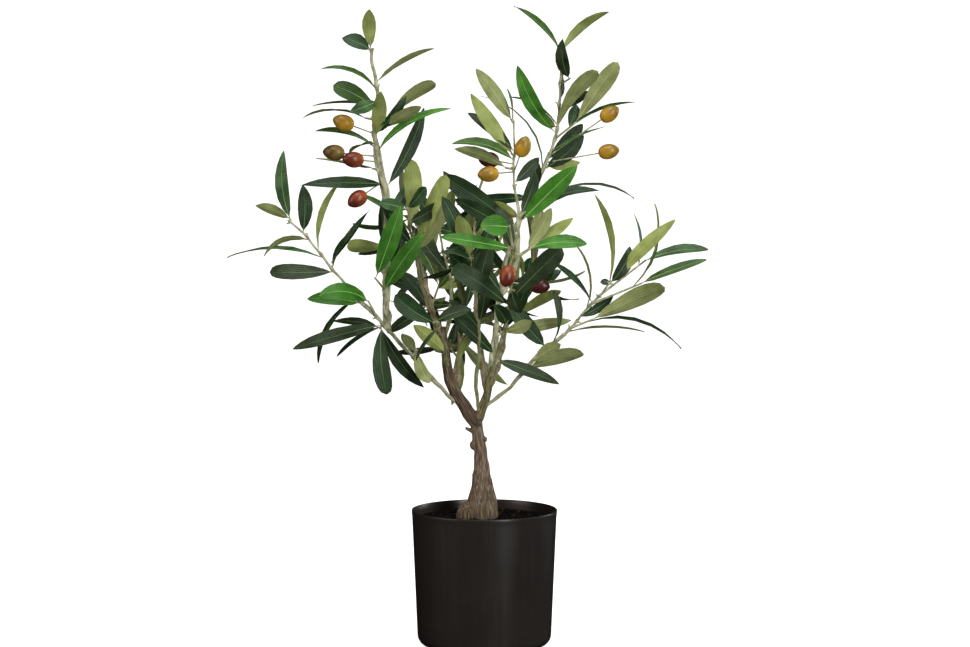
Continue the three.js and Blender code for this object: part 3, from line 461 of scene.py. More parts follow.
# Leaves sit along the outer part of their twig, or a little apart round a joint in the stem.
def leafRoot(spray, row, line, k):
    count = len(row["leaves"])
    share = 1 if count == 1 else k / (count - 1)
    if row["length"] > 0:
        inward = (1 - share) * min(twig["leafReach"], row["length"] / 2)
        return pointOn(line, 1 - (twig["sunk"] + inward) / row["length"])
    place = row["at"] + (share - 0.5) * twig["jointSpread"] / spray["length"]
    return pointOn(spray["line"], min(place, outermost(spray)))


# Lays a spray's stem. Its bare lower part is a limb of its own, which other sprays can start from.
def layStem(spray, steps=12):
    line = course(pointOn(limbs[spray["bough"]], spray["start"]), spray["length"],
                  spray["clocks"], spray["leans"])
    spray["line"] = line
    if spray["bare"] > 0:
        end = spray["bare"] - fill["seatGap"] / 2 / spray["length"]
        limbs[spray["name"]] = dict(points=[pointOn(line, end * i / steps) for i in range(steps + 1)],
                                    length=end * spray["length"])


def layTwigs(spray, number):
    takeLimb(spray["line"], taper(stem), number)
    spray["twigLines"] = []
    for row in spray["twigs"]:
        start = pointOn(spray["line"], min(row["at"], outermost(spray)))
        line = course(start, row["length"], [row["clock"]], [row["lean"]], 4)
        if row["length"] > 0:
            takeLimb(line, taper(twig), number)
        spray["twigLines"].append(line)
    spray["oliveLines"] = []
    for row in spray["olives"]:
        length = row["stalk"] + olive["length"]
        line = course(pointOn(spray["line"], row["at"]), length, [row["clock"]], [row["lean"]], 8)
        take(pointOn(line, (row["stalk"] + olive["length"] / 2) / length), olive["width"] / 2, number, 0)
        spray["oliveLines"].append(line)


def layLeaves(spray, number):
    spray["blades"] = []
    for i, row in enumerate(spray["twigs"]):
        for k, leafRow in enumerate(row["leaves"]):
            root = leafRoot(spray, row, spray["twigLines"][i], k)
            for step in clearance["leans"]:
                strip = blade(root, leafRow, leafRow[2] + step, number * 1000 + i * 20 + k)
                points = bladePoints(strip)
                if isClear(points, number):
                    for point in points[points[:, 3] > clearance["bladeFrom"]]:
                        take(point[:3], 0, number, 0)
                    spray["blades"].append(strip)
                    break


trunkFoot = Vector((*trunk["foot"], pot["height"] - fill["belowRim"] + fill["seatGap"]))
trunkLine = course(trunkFoot, trunk["length"], trunk["clocks"], [0])


def trunkRadius(t):
    flare = math.exp(-(t * trunk["length"] / trunk["flareHeight"]) ** 2)
    return mix(trunk["neckRadius"], trunk["footRadius"], flare)


limbs = {name: course(pointOn(trunkLine, trunk["forkAt"]), bough["length"], bough["clocks"], [0])
         for name, bough in boughs.items()}
for number, spray in enumerate(backSprays):
    spray["twigs"] = dealTwigs(spray, number + 1)
laid = sprays + backSprays
for spray in laid:
    spray.setdefault("olives", [])
    layStem(spray)

# Every limb, stem, twig and olive takes its place before any leaf does.
takeLimb(trunkLine, trunkRadius, -1)
for name, bough in boughs.items():
    takeLimb(limbs[name], taper(bough), -1)
for number, spray in enumerate(laid):
    layTwigs(spray, number)
for number, spray in enumerate(laid):
    layLeaves(spray, number)
print("laid out", len(laid), "sprays with", sum(len(spray["blades"]) for spray in laid), "leaves")


# A hex colour, which is sRGB, as the linear colour that the shaders take.
def linear(hexColour):
    shares = [int(hexColour[i:i + 2], 16) / 255 for i in (1, 3, 5)]
    return (*[s / 12.92 if s <= 0.04045 else ((s + 0.055) / 1.055) ** 2.4 for s in shares], 1)


# Adds a node. A setting is one of its properties or, by name or number, one of its sockets; a value that
# is itself a socket is linked in.
def addNode(material, kind, settings={}):
    node = material.node_tree.nodes.new(kind)
    for name, value in settings.items():
        if isinstance(value, bpy.types.NodeSocket):
            material.node_tree.links.new(value, node.inputs[name])
        elif isinstance(name, str) and hasattr(node, name):
            setattr(node, name, value)
        else:
            node.inputs[name].default_value = value
    return node


# A new material, and the outputs of its coordinates.
def startMaterial(name):
    material = bpy.data.materials.new(name)
    material.use_nodes = True
    material.node_tree.nodes.clear()
    return material, addNode(material, "ShaderNodeTexCoord").outputs


def finishMaterial(material, settings):
    shader = addNode(material, "ShaderNodeBsdfPrincipled", settings)
    addNode(material, "ShaderNodeOutputMaterial", {"Surface": shader.outputs["BSDF"]})
    return material


# Noise whose cells have the given size, in millimetres.
def addNoise(material, place, size, detail):
    return addNode(material, "ShaderNodeTexNoise", {
        "Scale": 1 / (size * mm), "Detail": detail, "Vector": place}).outputs["Fac"]


# Brings a value that runs from low to high to one that runs from start to end.
def addRange(material, value, low, high, start=0, end=1):
    return addNode(material, "ShaderNodeMapRange", {
        "Value": value, "From Min": low, "From Max": high, "To Min": start, "To Max": end}).outputs[0]


# Mixes two colours by a share. A colour is hex, linear or a socket.
def addMix(material, share, first, second, blend="MIX"):
    first, second = [linear(colour) if isinstance(colour, str) else colour for colour in (first, second)]
    return addNode(material, "ShaderNodeMix", {
        "data_type": "RGBA", "blend_type": blend, 0: share, 6: first, 7: second}).outputs[2]


def addBump(material, height, strength, depth):
    return addNode(material, "ShaderNodeBump", {
        "Strength": strength, "Distance": depth * mm, "Height": height}).outputs[0]


def addStretch(material, place, tall):
    return addNode(material, "ShaderNodeMapping", {"Scale": (1, 1, tall), "Vector": place}).outputs[0]


# Links a finished bmesh in as a smooth object.
def addMesh(name, bm, materials):
    mesh = bpy.data.meshes.new(name)
    bm.to_mesh(mesh)
    bm.free()
    for material in materials:
        mesh.materials.append(material)
    mesh.shade_smooth()
    made = bpy.data.objects.new(name, mesh)
    bpy.context.scene.collection.objects.link(made)
    return made


# Finishes a piece: brings it to metres and ties it to the frame.
def addPiece(name, bm, materials, slotName, *nodes):
    bmesh.ops.scale(bm, vec=(mm, mm, mm), verts=bm.verts)
    piece = addMesh(name, bm, materials)
    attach(piece, "root")
    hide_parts(*nodes)


# The newest vertices of a bmesh, once a shape has been added to it.
def newest(bm, count):
    bm.verts.ensure_lookup_table()
    return bm.verts[-count:]


# Spins a profile round the upright axis. Each row is a corner: its radius, its height and, where it is
# rounded, the size and the steps of its rounding.
def spun(profile, steps):
    bm = bmesh.new()
    verts = [bm.verts.new((row[0], 0, row[1])) for row in profile]
    for pair in zip(verts, verts[1:]):
        bm.edges.new(pair)
    for vert, (_, _, *rounding) in zip(verts, profile):
        if rounding:
            bmesh.ops.bevel(bm, geom=[vert], offset=rounding[0], segments=rounding[1], profile=0.5,
                            affect="VERTICES", material=-1)
    bmesh.ops.spin(bm, geom=bm.verts[:] + bm.edges[:], cent=(0, 0, 0), axis=(0, 0, 1), angle=math.tau,
                   steps=steps, use_merge=True)
    bmesh.ops.remove_doubles(bm, verts=bm.verts, dist=0.01)
    bmesh.ops.recalc_face_normals(bm, faces=bm.faces)
    return bm


# The pot: a tapered shell with a rounded foot, a lip and a recessed underside.
def potRadius(z):
    rise = (pot["rimRadius"] - pot["lipProud"] - pot["footRadius"]) / pot["height"]
    return pot["footRadius"] + rise * z


def makePotPlastic():
    # Polypropylene, injection moulded: a soft satin black with a faint pebble and a few rubbed streaks.
    material, coordinates = startMaterial("polypropylene_moulded")
    place = coordinates["Object"]
    streaks = addNoise(material, addStretch(material, place, 0.08), 5, 3)
    clouds = addNoise(material, place, 38, 2)
    pebble = addNoise(material, place, 1.3, 2)
    return finishMaterial(material, {
        "Base Color": addMix(material, clouds, "#1d1a19", "#2a2624"),
        "Roughness": addRange(material, streaks, 0.35, 0.7, 0.3, 0.4),
        "Normal": addBump(material, pebble, 0.12, 0.2), "IOR": 1.49, "Specular IOR Level": 0.5})


def addPot():
    height, rim, foot, wall = pot["height"], pot["rimRadius"], pot["footRadius"], pot["wall"]
    recess, recessRadius, footRound = pot["recess"], pot["recessRadius"], pot["footRound"]
    band = height - pot["lipBand"]
    profile = [
        (0, recess), (recessRadius, recess), (recessRadius + pot["recessSlope"], 0),
        (foot, 0, footRound, pot["footSteps"]), (potRadius(band), band, *pot["bandRound"]),
        (rim, height - pot["lipTop"], *pot["shoulderRound"]), (rim, height, *pot["lipRound"]),
        (rim - wall, height, *pot["lipRound"]), (potRadius(band) - wall, band),
        (potRadius(footRound) - wall, footRound, *pot["innerRound"]),
        (foot - footRound, pot["floor"]), (0, pot["floor"]),
    ]
    addPiece("pot_shell", spun(profile, pot["steps"]), [makePotPlastic()], "pot", "pot")


# The fill: a disc of crumbs, a little higher round the trunk.
def makeFillCrumb():
    # Dyed sawdust and foam granules, glued: nearly black and rough, with brown crumbs showing.
    material, coordinates = startMaterial("glued_granules")
    place = coordinates["Object"]
    grains = addNode(material, "ShaderNodeTexVoronoi", {"Scale": 1 / (2.4 * mm), "Vector": place})
    dust = addNoise(material, place, 6, 4)
    return finishMaterial(material, {
        "Base Color": addMix(material, dust, "#050404", "#120d0a"), "Roughness": 0.9,
        "Specular IOR Level": 0.15, "Normal": addBump(material, grains.outputs["Distance"], 0.8, 0.8)})


# How far a spot on the fill is from the trunk's middle, and how high the fill is heaped there.
def heapAt(spot):
    fromTrunk = (spot - trunkFoot.xy.to_3d()).length
    return fromTrunk, fill["mound"] * math.exp(-(fromTrunk / fill["moundReach"]) ** 2)


def addFill():
    top = pot["height"] - fill["belowRim"]
    bend = pot["footRound"] + fill["bendAbove"]
    edge, bendRadius = [potRadius(z) - pot["wall"] - fill["seatGap"] for z in (top, bend)]
    corner = pot["footRadius"] - pot["footRound"] - fill["seatGap"]
    low = pot["floor"] + fill["seatGap"]
    profile = [(edge * i / fill["rings"], top) for i in range(fill["rings"] + 1)]
    profile += [(bendRadius - fill["bendInset"], bend), (corner - fill["cornerInset"], low), (0, low)]
    bm = spun(profile, fill["steps"])
    for vert in bm.verts:
        if vert.co.z > top - 0.1 and vert.co.xy.length < edge - fill["edgeKept"]:
            spot = vert.co.xy.to_3d()
            fine = noise.noise(spot / (fill["gritSize"] * fill["fineSize"]) + front * 9)
            grit = fill["grit"] * noise.noise(spot / fill["gritSize"])
            grit += fill["grit"] * fill["fineGrit"] * fine
            vert.co.z += grit + heapAt(spot)[1] - fill["settled"]
    addPiece("pot_crumb_bed", bm, [makeFillCrumb()], "fill", "pot_fill")


# Loose crumbs lie all over the bed, most as dark as it is and a few paler.
crumbs = dict(count=620, size=(0.8, 2.1), pale=0.07, squash=0.7, narrow=0.6, rough=0.5, roughSize=1.7,
              proud=0.2, rimGap=3.2)


def makeCrumb(name, colour):
    # Cut bark and cork granules: dry, rough and faintly mottled.
    material, coordinates = startMaterial(name)
    mottle = addNoise(material, coordinates["Object"], 1.2, 2)
    dark = tuple(part * 0.5 for part in linear(colour)[:3]) + (1,)
    return finishMaterial(material, {
        "Base Color": addMix(material, mottle, dark, colour), "Roughness": 0.88,
        "Specular IOR Level": 0.15})


def addCrumbs():
    top = pot["height"] - fill["belowRim"]
    reach = pot["rimRadius"] - pot["wall"] - crumbs["rimGap"]
    bm = bmesh.new()
    for i in range(crumbs["count"]):
        seed = 5000 + i * 7
        around, out = math.tau * chance(seed), reach * math.sqrt(chance(seed + 1))
        spot = Vector((out * math.cos(around), out * math.sin(around), 0))
        fromTrunk, heap = heapAt(spot)
        if fromTrunk < trunk["footRadius"] - 1:
            continue
        spot.z = top + heap + crumbs["proud"]
        size = mix(*crumbs["size"], chance(seed + 2))
        axis = heading(360 * chance(seed + 4), 90 * chance(seed + 5))
        turn = Matrix.Rotation(math.tau * chance(seed + 3), 4, axis)
        squash = Matrix.Diagonal((1, mix(crumbs["narrow"], 1, chance(seed + 6)), crumbs["squash"], 1))
        place = Matrix.Translation(spot) @ turn @ squash
        made = bmesh.ops.create_icosphere(bm, subdivisions=1, radius=size, matrix=place)
        for vert in made["verts"]:
            vert.co += (vert.co - spot) * (crumbs["rough"] * noise.noise(vert.co / crumbs["roughSize"]))
        isPale = chance(seed + 8) < crumbs["pale"]
        for face in {face for vert in made["verts"] for face in vert.link_faces}:
            face.material_index = int(isPale)
    materials = [makeCrumb("bark_granule_dark", "#0e0b09"), makeCrumb("bark_granule_pale", "#402a1d")]
    addPiece("loose_crumbs", bm, materials, "fill", "pot_fill")


# A round limb along a course: a cone cut into rings, each ring set on the course's own frame.
def addLimb(bm, line, radiusAt, sides, spacing, end=1):
    rings = max(2, round(end * line["length"] / spacing))
    made = bmesh.ops.create_cone(bm, cap_ends=True, segments=sides, radius1=1, radius2=1, depth=1)
    upright = {edge for vert in made["verts"] for edge in vert.link_edges
               if abs(edge.verts[0].co.z - edge.verts[1].co.z) > 0.5}
    bmesh.ops.subdivide_edges(bm, edges=list(upright), cuts=rings - 1, use_grid_fill=True)
    for vert in newest(bm, sides * (rings + 1)):
        t = end * (vert.co.z + 0.5)
        origin, side, normal, _ = frameOn(line, t)
        vert.co = origin + (side * vert.co.x + normal * vert.co.y) * radiusAt(t)


def addLump(bm, lump):
    matrix = Matrix.Translation(lump["at"]) @ Matrix.Diagonal((*lump["size"], 1))
    bmesh.ops.create_icosphere(bm, subdivisions=3, radius=1, matrix=matrix)


# The bark: the trunk and both boughs grown together into one skin, then furrowed along their length.
# A strand of its grain is its width, its length and its place in the noise, which each limb shifts.
bark = dict(sides=32, spacing=3, voxel=0.45, smoothing=7, samples=60, depth=0.8, lumps=0.8, lumpSize=11,
            furrow=0.544, strand=(1.1, 14, 0), fine=0.416, fineStrand=(0.55, 9, 7),
            shift=dict(trunk=0, left=40, right=80),
            # The foot colour is the trunk's colour darkened as painted shade, where the trunk stands down
            # in the pot.
            colours=dict(foot="#6b5b47", trunk="#7a6957", left="#5e4a3a", right="#7c7450", tip="#8a845e",
                         burr="#64533f"),
            footShadeFade=40, tipFrom=0.6, tipFade=1.8, burrReach=1.25, burrFade=4)


def makeBark():
    # Polyurethane, cast in a mould from bark: tan on the ridges, with painted shade darkening the
    # furrows.
    material, coordinates = startMaterial("cast_bark")
    place = coordinates["Object"]
    tint = addNode(material, "ShaderNodeAttribute", {"attribute_name": "tint"}).outputs["Color"]
    relief = addNode(material, "ShaderNodeAttribute", {"attribute_name": "relief"}).outputs["Fac"]
    strands = addNoise(material, addStretch(material, place, 0.13), 0.8, 3)
    patches = addRange(material, addNoise(material, place, 9, 3), 0.35, 0.65, 0, 0.45)
    streaks = addRange(material, strands, 0.4, 0.62, 0, 0.5)
    # Painted shade: where the relief is low, in the furrows, the bark is darkened.
    furrowShade = addRange(material, relief, -0.4, 0.05, 0.7, 0)
    ridges = addRange(material, relief, 0.05, 0.5, 0, 0.45)
    colour = addMix(material, patches, tint, "#a89680", "MULTIPLY")
    for share, tone in ((streaks, "#3a2f25"), (furrowShade, "#2a211a"), (ridges, "#b9ab86")):
        colour = addMix(material, share, colour, tone)
    return finishMaterial(material, {
        "Base Color": colour, "Roughness": 0.78, "Normal": addBump(material, strands, 0.5, 0.4)})


# One skin round the shapes of a bmesh, by a voxel remesh, smoothed.
def skinned(bm):
    rough = addMesh("rough_bark", bm, [])
    remesh = rough.modifiers.new("skin", "REMESH")
    remesh.mode, remesh.voxel_size = "VOXEL", bark["voxel"]
    skin = bmesh.new()
    skin.from_mesh(rough.evaluated_get(bpy.context.evaluated_depsgraph_get()).to_mesh())
    mesh = rough.data
    bpy.data.objects.remove(rough)
    bpy.data.meshes.remove(mesh)
    for _ in range(bark["smoothing"]):
        bmesh.ops.smooth_vert(skin, verts=skin.verts, factor=0.5,
                              use_axis_x=True, use_axis_y=True, use_axis_z=True)
    return skin


# Cuts a skin off flat where it stands on the fill.
def cutFoot(bm):
    below = bmesh.ops.bisect_plane(bm, geom=bm.verts[:] + bm.edges[:] + bm.faces[:], dist=0.001,
                                   plane_co=trunkFoot, plane_no=(0, 0, -1), clear_outer=True)
    rim = [cut for cut in below["geom_cut"] if isinstance(cut, bmesh.types.BMEdge)]
    bmesh.ops.holes_fill(bm, edges=rim, sides=0)
    bm.normal_update()


def addBark():
    rough = bmesh.new()
    lines = [(trunkLine, trunkRadius, "trunk")]
    lines += [(limbs[name], taper(bough), name) for name, bough in boughs.items()]
    for line, radiusAt, _ in lines:
        addLimb(rough, line, radiusAt, bark["sides"], bark["spacing"])
    for lump in [burr, *knots]:
        addLump(rough, lump)
    snagLine = course(pointOn(trunkLine, snag["at"]), snag["length"], [snag["clock"]], [0])
    addLimb(rough, snagLine, taper(snag), snag["sides"], bark["spacing"])
    bm = skinned(rough)
    cutFoot(bm)

    # Each point of the skin belongs to the limb whose surface is nearest, and takes its frame there.
    samples = [(line, radiusAt, name, i / bark["samples"]) for line, radiusAt, name in lines
               for i in range(bark["samples"] + 1)]
    frames = [frameOn(line, t) for line, _, _, t in samples]
    origins = np.array([origin for origin, *_ in frames])
    radii = np.array([radiusAt(t) for _, radiusAt, _, t in samples])
    tintLayer = bm.verts.layers.float_color.new("tint")
    reliefLayer = bm.verts.layers.float.new("relief")
    colours = {name: Vector(linear(colour)) for name, colour in bark["colours"].items()}
    burrShrink = Matrix.Diagonal([1 / size for size in burr["size"]])
    for vert in bm.verts:
        index = np.argmin(np.linalg.norm(origins - np.array(vert.co), axis=1) - radii)
        line, _, name, t = samples[index]
        origin, side, normal, tangent = frames[index]
        out = vert.co - origin
        lengthwise = t * line["length"] + out.dot(tangent)

        def grain(width, length, shift):
            return noise.noise(Vector((out.dot(side) / width, out.dot(normal) / width,
                                       lengthwise / length + bark["shift"][name] + shift)))

        relief = bark["furrow"] * grain(*bark["strand"]) + bark["fine"] * grain(*bark["fineStrand"])
        swell = bark["lumps"] * noise.noise(vert.co / bark["lumpSize"])
        if name == "trunk":
            # Painted shade: the trunk is darker towards its foot, where it stands down in the pot.
            height = max(0, min(1, (vert.co.z - trunkFoot.z) / bark["footShadeFade"]))
            tint = colours["foot"].lerp(colours["trunk"], height)
        else:
            tint = colours[name].lerp(colours["tip"], max(0, t - bark["tipFrom"]) * bark["tipFade"])
        fromBurr = (burrShrink @ (vert.co - Vector(burr["at"]))).length
        burrShare = min(1, max(0, bark["burrReach"] - fromBurr) * bark["burrFade"])
        vert[tintLayer] = tint.lerp(colours["burr"], burrShare)
        vert[reliefLayer] = relief
        # The cut across the foot stays flat.
        if vert.co.z > trunkFoot.z + 0.2:
            vert.co += vert.normal * (relief * bark["depth"] + swell)
    bmesh.ops.recalc_face_normals(bm, faces=bm.faces)
    print("bark skin made of", len(bm.verts), "points")
    addPiece("trunk_bark", bm, [makeBark()], "bark", "trunk", "left_bough", "right_bough")


# The stems and twigs: pale plastic over wire. Each twig has a strand of its own beside the stem below it,
# so a stem is a bundle at its foot and one thin wire at its tip, with stubs of cut shoots at each joint.
# Stems that stemOf doesn't name are tan.
stemColours = dict(pale=("#7f8160", "#bdbe9f"), tan=("#6d6444", "#a49b76"), olive=("#6f7549", "#a6aa80"))
stemOf = dict(
    low_left="pale", top_left="pale", low_shoot="pale", low_right="pale", top_right="pale", centre="pale",
    middle="olive", front_centre="olive", centre_left="olive", front_left="olive")


def makeStemPlastic(name, dark, light):
    # Polyethylene, moulded over wire: waxy and matt, mottled from pale to dark and finely pitted.
    material, coordinates = startMaterial("waxy_polyethylene_" + name)
    place = coordinates["Object"]
    share = addRange(material, addNoise(material, place, 7, 4), 0.35, 0.65)
    return finishMaterial(material, {
        "Base Color": addMix(material, share, dark, light), "Roughness": 0.55,
        "Normal": addBump(material, addNoise(material, place, 1, 2), 0.35, 0.2)})


# A line that runs beside another one, off it by offsetAt: a pair told along its side and its normal.
def beside(line, start, end, offsetAt, steps):
    points = []
    for i in range(steps + 1):
        origin, side, normal, _ = frameOn(line, mix(start, end, i / steps))
        across, out = offsetAt(i / steps)
        points.append(origin + side * across + normal * out)
    return dict(points=points, length=(end - start) * line["length"])


def addStrand(bm, line, at, girth, seed):
    start = max(0, at - strand["run"] / line["length"])
    angle = math.tau * chance(seed)
    stemRadius = taper(stem)

    # It comes out of the stem at its foot and is back in it two thirds of the way to its joint.
    def offsetAt(t):
        lift = math.sin(math.pi * min(1, 1.5 * t)) ** 0.5 if t < 1 else 0
        apart = lift * girth * (stemRadius(mix(start, at, t)) + strand["nestle"])
        swing = angle + strand["sway"] * math.sin(4 * t + seed)
        return apart * math.cos(swing), apart * math.sin(swing)

    path = beside(line, start, at, offsetAt, strand["steps"])
    addLimb(bm, path, taper(strand, girth), strand["sides"], strand["spacing"])


def addStubs(bm, line, at, seed):
    _, side, normal, tangent = frameOn(line, at)
    for k in range(stub["each"]):
        around = math.tau * chance(seed + k)
        out = (side * math.cos(around) + normal * math.sin(around) + tangent * stub["rake"]).normalized()
        root = pointOn(line, at + stub["scatter"] * (chance(seed + k + 0.4) - 0.5) / line["length"])
        length = mix(*stub["length"], chance(seed + k + 0.7))
        path = dict(points=[root, root + out * length], length=length)
        addLimb(bm, path, taper(stub), stub["sides"], length / 2)


def addStems(spray, number):
    bm = bmesh.new()
    name, length = spray["name"], spray["length"]
    girth = stem["girth"].get(name, 1)
    joints = [row["at"] * length for row in spray["twigs"]]

    def radiusAt(t):
        reach = min([abs(t * length - joint) for joint in joints])
        swelling = stem["swelling"] * math.exp(-(reach / stem["swellingReach"]) ** 2)
        return girth * (mix(stem["radius"], stem["tipRadius"], t) + swelling)

    def kinkAt(t):
        spot = Vector((t * length / stem["kinkLength"], number * 3.1, 0.5))
        return stem["kink"] * noise.noise(spot), stem["kink"] * noise.noise(spot + front * 5)

    kinked = beside(spray["line"], 0, 1, kinkAt, max(24, round(length / 4)))
    addLimb(bm, kinked, radiusAt, stem["sides"], stem["spacing"])
    for i, row in enumerate(spray["twigs"]):
        seed = number * 50 + i * 3
        if row["length"] > 0:
            addLimb(bm, spray["twigLines"][i], taper(twig["drawn"]), twig["sides"], twig["spacing"])
        if row["at"] < 1:
            addStrand(bm, kinked, row["at"], girth, seed)
        addStubs(bm, kinked, min(row["at"], outermost(spray)), seed + 0.5)
    for line, row in zip(spray["oliveLines"], spray["olives"]):
        addLimb(bm, line, taper(olive["stalk"]), twig["sides"], twig["spacing"],
                (row["stalk"] + olive["sunk"]) / line["length"])
    bmesh.ops.recalc_face_normals(bm, faces=bm.faces)
    nodes = [name + "_spray"] + ([name + "_bough"] if spray["bare"] > 0 else [])
    addPiece(name + "_stems", bm, [stemPlastics[stemOf.get(name, "tan")]], "stem", *nodes)


# The leaves: one flat grid is the pattern for all, six strips round by nine along, and each copy of it is
# rolled closed and set on its blade. The narrow second and fifth strips are the rib above and below, and
# ribMost is the most of the blade that they take up.
leafPattern = dict(
    stations=[0, 0.08, 0.18, 0.33, 0.49, 0.65, 0.79, 0.89, 0.96, 1],
    across=[1, 0.06, -0.06, -1, -0.06, 0.06, 1],
    faceSide=[0, 1, 1, 0, -1, -1, 0],
    ribStrips=(1, 4), ribHalf=0.42, ribMost=0.4, ribTaper=1.1, ribProud=0.3,
    stalkHalf=0.75, stalkEnd=0.1, stalkThicker=2.2, ruffle=0.7, ruffleTurn=5, ruffleFrom=0.2,
)
leafColours = dict(
    dark=dict(rib="#5a7850",
              Upper=[("#132a0e", "#27431f"), ("#172e13", "#2b4b29"), ("#1c2a12", "#34452a")],
              Under=[("#5f6c38", "#828f50"), ("#555c38", "#757a50")]),
    mid=dict(rib="#8ca468",
             Upper=[("#2c4a1c", "#4a6c30"), ("#2d4c2b", "#4e7346")],
             Under=[("#7b8942", "#a1af68"), ("#6f7a46", "#949d68")]),
    bright=dict(rib="#93c069",
                Upper=[("#275c10", "#468724"), ("#2e651a", "#4f8e30")],
                Under=[("#5c8a34", "#7fac52")]),
)
# Each cloth's roughness, and the strength and spacing of its ridges.
ribCloth = dict(roughness=0.5, ridge=0.2, ridgeSpacing=1.5)
faceCloths = dict(Upper=dict(roughness=0.42, ridge=0.5, ridgeSpacing=1.9),
                  Under=dict(roughness=0.66, ridge=0.4, ridgeSpacing=2.6))
# The spacing of a wave texture's bands at scale 1.
waveSpacing = 0.31416


def makeLeafCloth(name, dark, light, roughness, ridge, ridgeSpacing):
    # Polyester cloth, dyed, stiffened and pressed hot between ribbed plates: fine ridges run along it.
    # Real ridges are half a millimetre apart, and are drawn coarser so that they show.
    material, coordinates = startMaterial("pressed_cloth_" + name)
    place = coordinates["Object"]
    ridges = addNode(material, "ShaderNodeTexWave", {
        "Scale": waveSpacing / ridgeSpacing, "Distortion": 1.2, "Detail": 1, "Detail Scale": 0.4,
        "Vector": coordinates["UV"]})
    weave = addNoise(material, place, 0.9, 2)
    height = addNode(material, "ShaderNodeMath", {
        "operation": "MULTIPLY_ADD", 0: weave, 1: 0.35, 2: ridges.outputs["Fac"]}).outputs[0]
    share = addRange(material, addNoise(material, place, 14, 3), 0.3, 0.7)
    return finishMaterial(material, {
        "Base Color": addMix(material, share, dark, light), "Roughness": roughness,
        "Specular IOR Level": 0.32, "Normal": addBump(material, height, ridge, 0.4)})


# The material of each part of a leaf, by the part's name.
def makeLeafMaterials():
    made = {"stalk": stemPlastics["olive"]}
    made["underRib"] = makeLeafCloth("under_rib", "#8f9a62", "#aab37c", **dict(ribCloth, roughness=0.6))
    for tone, colours in leafColours.items():
        made[tone + "Rib"] = makeLeafCloth("rib_" + tone, colours["rib"], colours["rib"], **ribCloth)
        for face, cloth in faceCloths.items():
            for i, pair in enumerate(colours[face]):
                name = f"{tone}_{i}" if face == "Upper" else f"under_{tone}_{i}"
                made[f"{tone}{face}{i}"] = makeLeafCloth(name, *pair, **cloth)
    return made


# The grid for the upper side is mirrored for the underside, so that both bend along the same diagonals.
def makeLeafGrid():
    strips, rows = len(leafPattern["across"]) // 2, len(leafPattern["stations"]) - 1
    bm = bmesh.new()
    bmesh.ops.create_grid(bm, x_segments=strips, y_segments=rows, size=0.5)
    for vert in bm.verts:
        vert.co = Vector((round((vert.co.x - 0.5) * strips), round((vert.co.y + 0.5) * rows), 0))
    bmesh.ops.mirror(bm, geom=bm.verts[:] + bm.edges[:] + bm.faces[:], axis="X", merge_dist=0.01)
    bmesh.ops.translate(bm, vec=(strips, 0, 0), verts=bm.verts)
    mesh = bpy.data.meshes.new("leaf_grid")
    bm.to_mesh(mesh)
    bm.free()
    return mesh


# Where the grid's point in column j and row i goes on a blade, and how far that is from the middle.
def leafSpot(strip, j, i, phase):
    pattern, t = leafPattern, leafPattern["stations"][i]
    origin, side, normal = strip["frameAt"](t)
    across, facing = pattern["across"][j], pattern["faceSide"][j]
    isStalk = t < pattern["stalkEnd"]
    half = strip["halfWidth"](t)
    if isStalk:
        half = pattern["stalkHalf"] if i > 0 else 0
    if facing != 0 and half > 0:
        ribShare = pattern["ribHalf"] * (pattern["ribTaper"] - t) / half
        across = math.copysign(min(pattern["ribMost"], ribShare), across)
    lift = abs(across) * half * strip["fold"]
    if t > pattern["ruffleFrom"]:
        lift += pattern["ruffle"] * across * math.sin(phase + pattern["ruffleTurn"] * t)
    if 0 < t < 1:
        lift += facing * leaf["thickness"] / 2 * (pattern["stalkThicker"] if isStalk else 1)
    if facing < 0:
        lift -= pattern["ribProud"] * (1 - t)
    return origin + side * (across * half) + normal * lift, across * half


def addLeaf(bm, strip):
    firstFace = len(bm.faces)
    bm.from_mesh(leafGrid)
    verts = newest(bm, len(leafGrid.vertices))
    bm.faces.ensure_lookup_table()
    uv = bm.loops.layers.uv.verify()
    phase = math.tau * chance(strip["seed"] + 0.7)
    spots = {}
    for vert in verts:
        j, i = round(vert.co.x), round(vert.co.y)
        vert.co, width = leafSpot(strip, j, i, phase)
        spots[vert] = (j, i, width)
    kinds = leafColours[strip["tone"]]
    pick = {face: int(chance(strip["seed"] + 0.2) * len(kinds[face])) for face in faceCloths}
    for quad in bm.faces[firstFace:]:
        j, i = [min(spots[vert][k] for vert in quad.verts) for k in (0, 1)]
        face = "Upper" if j < len(leafPattern["across"]) // 2 else "Under"
        part = f"{strip['tone']}{face}{pick[face]}"
        if i == 0:
            part = "stalk"
        elif j in leafPattern["ribStrips"]:
            part = strip["tone"] + "Rib" if face == "Upper" else "underRib"
        quad.material_index = leafParts.index(part)
        for loop in quad.loops:
            _, row, width = spots[loop.vert]
            loop[uv].uv = (width, leafPattern["stations"][row] * strip["length"])
        # The margins stay sharp, so that the two faces are shaded apart.
        for edge in quad.edges:
            if all(leafPattern["faceSide"][spots[vert][0]] == 0 for vert in edge.verts):
                edge.smooth = False
    return verts


def addLeaves(spray):
    bm = bmesh.new()
    made = [addLeaf(bm, strip) for strip in spray["blades"]]
    for verts in made:
        bmesh.ops.remove_doubles(bm, verts=verts, dist=0.005)
    bmesh.ops.recalc_face_normals(bm, faces=bm.faces)
    addPiece(spray["name"] + "_leaves", bm, leafMaterials.values(), "foliage", spray["name"] + "_spray")


# The olives: plump at the stalk, drawn out to a small tip, and ripening from one end.
oliveColours = dict(amber=("#86681a", "#c4962a"), russet=("#5c2013", "#a04f27"),
                    plum=("#3a1214", "#602628"), umber=("#54431f", "#8c7138"))
oliveShape = dict(around=24, along=16, tip=0.7, tipPower=14, dimple=0.5, dimplePower=20, slimmer=0.07)


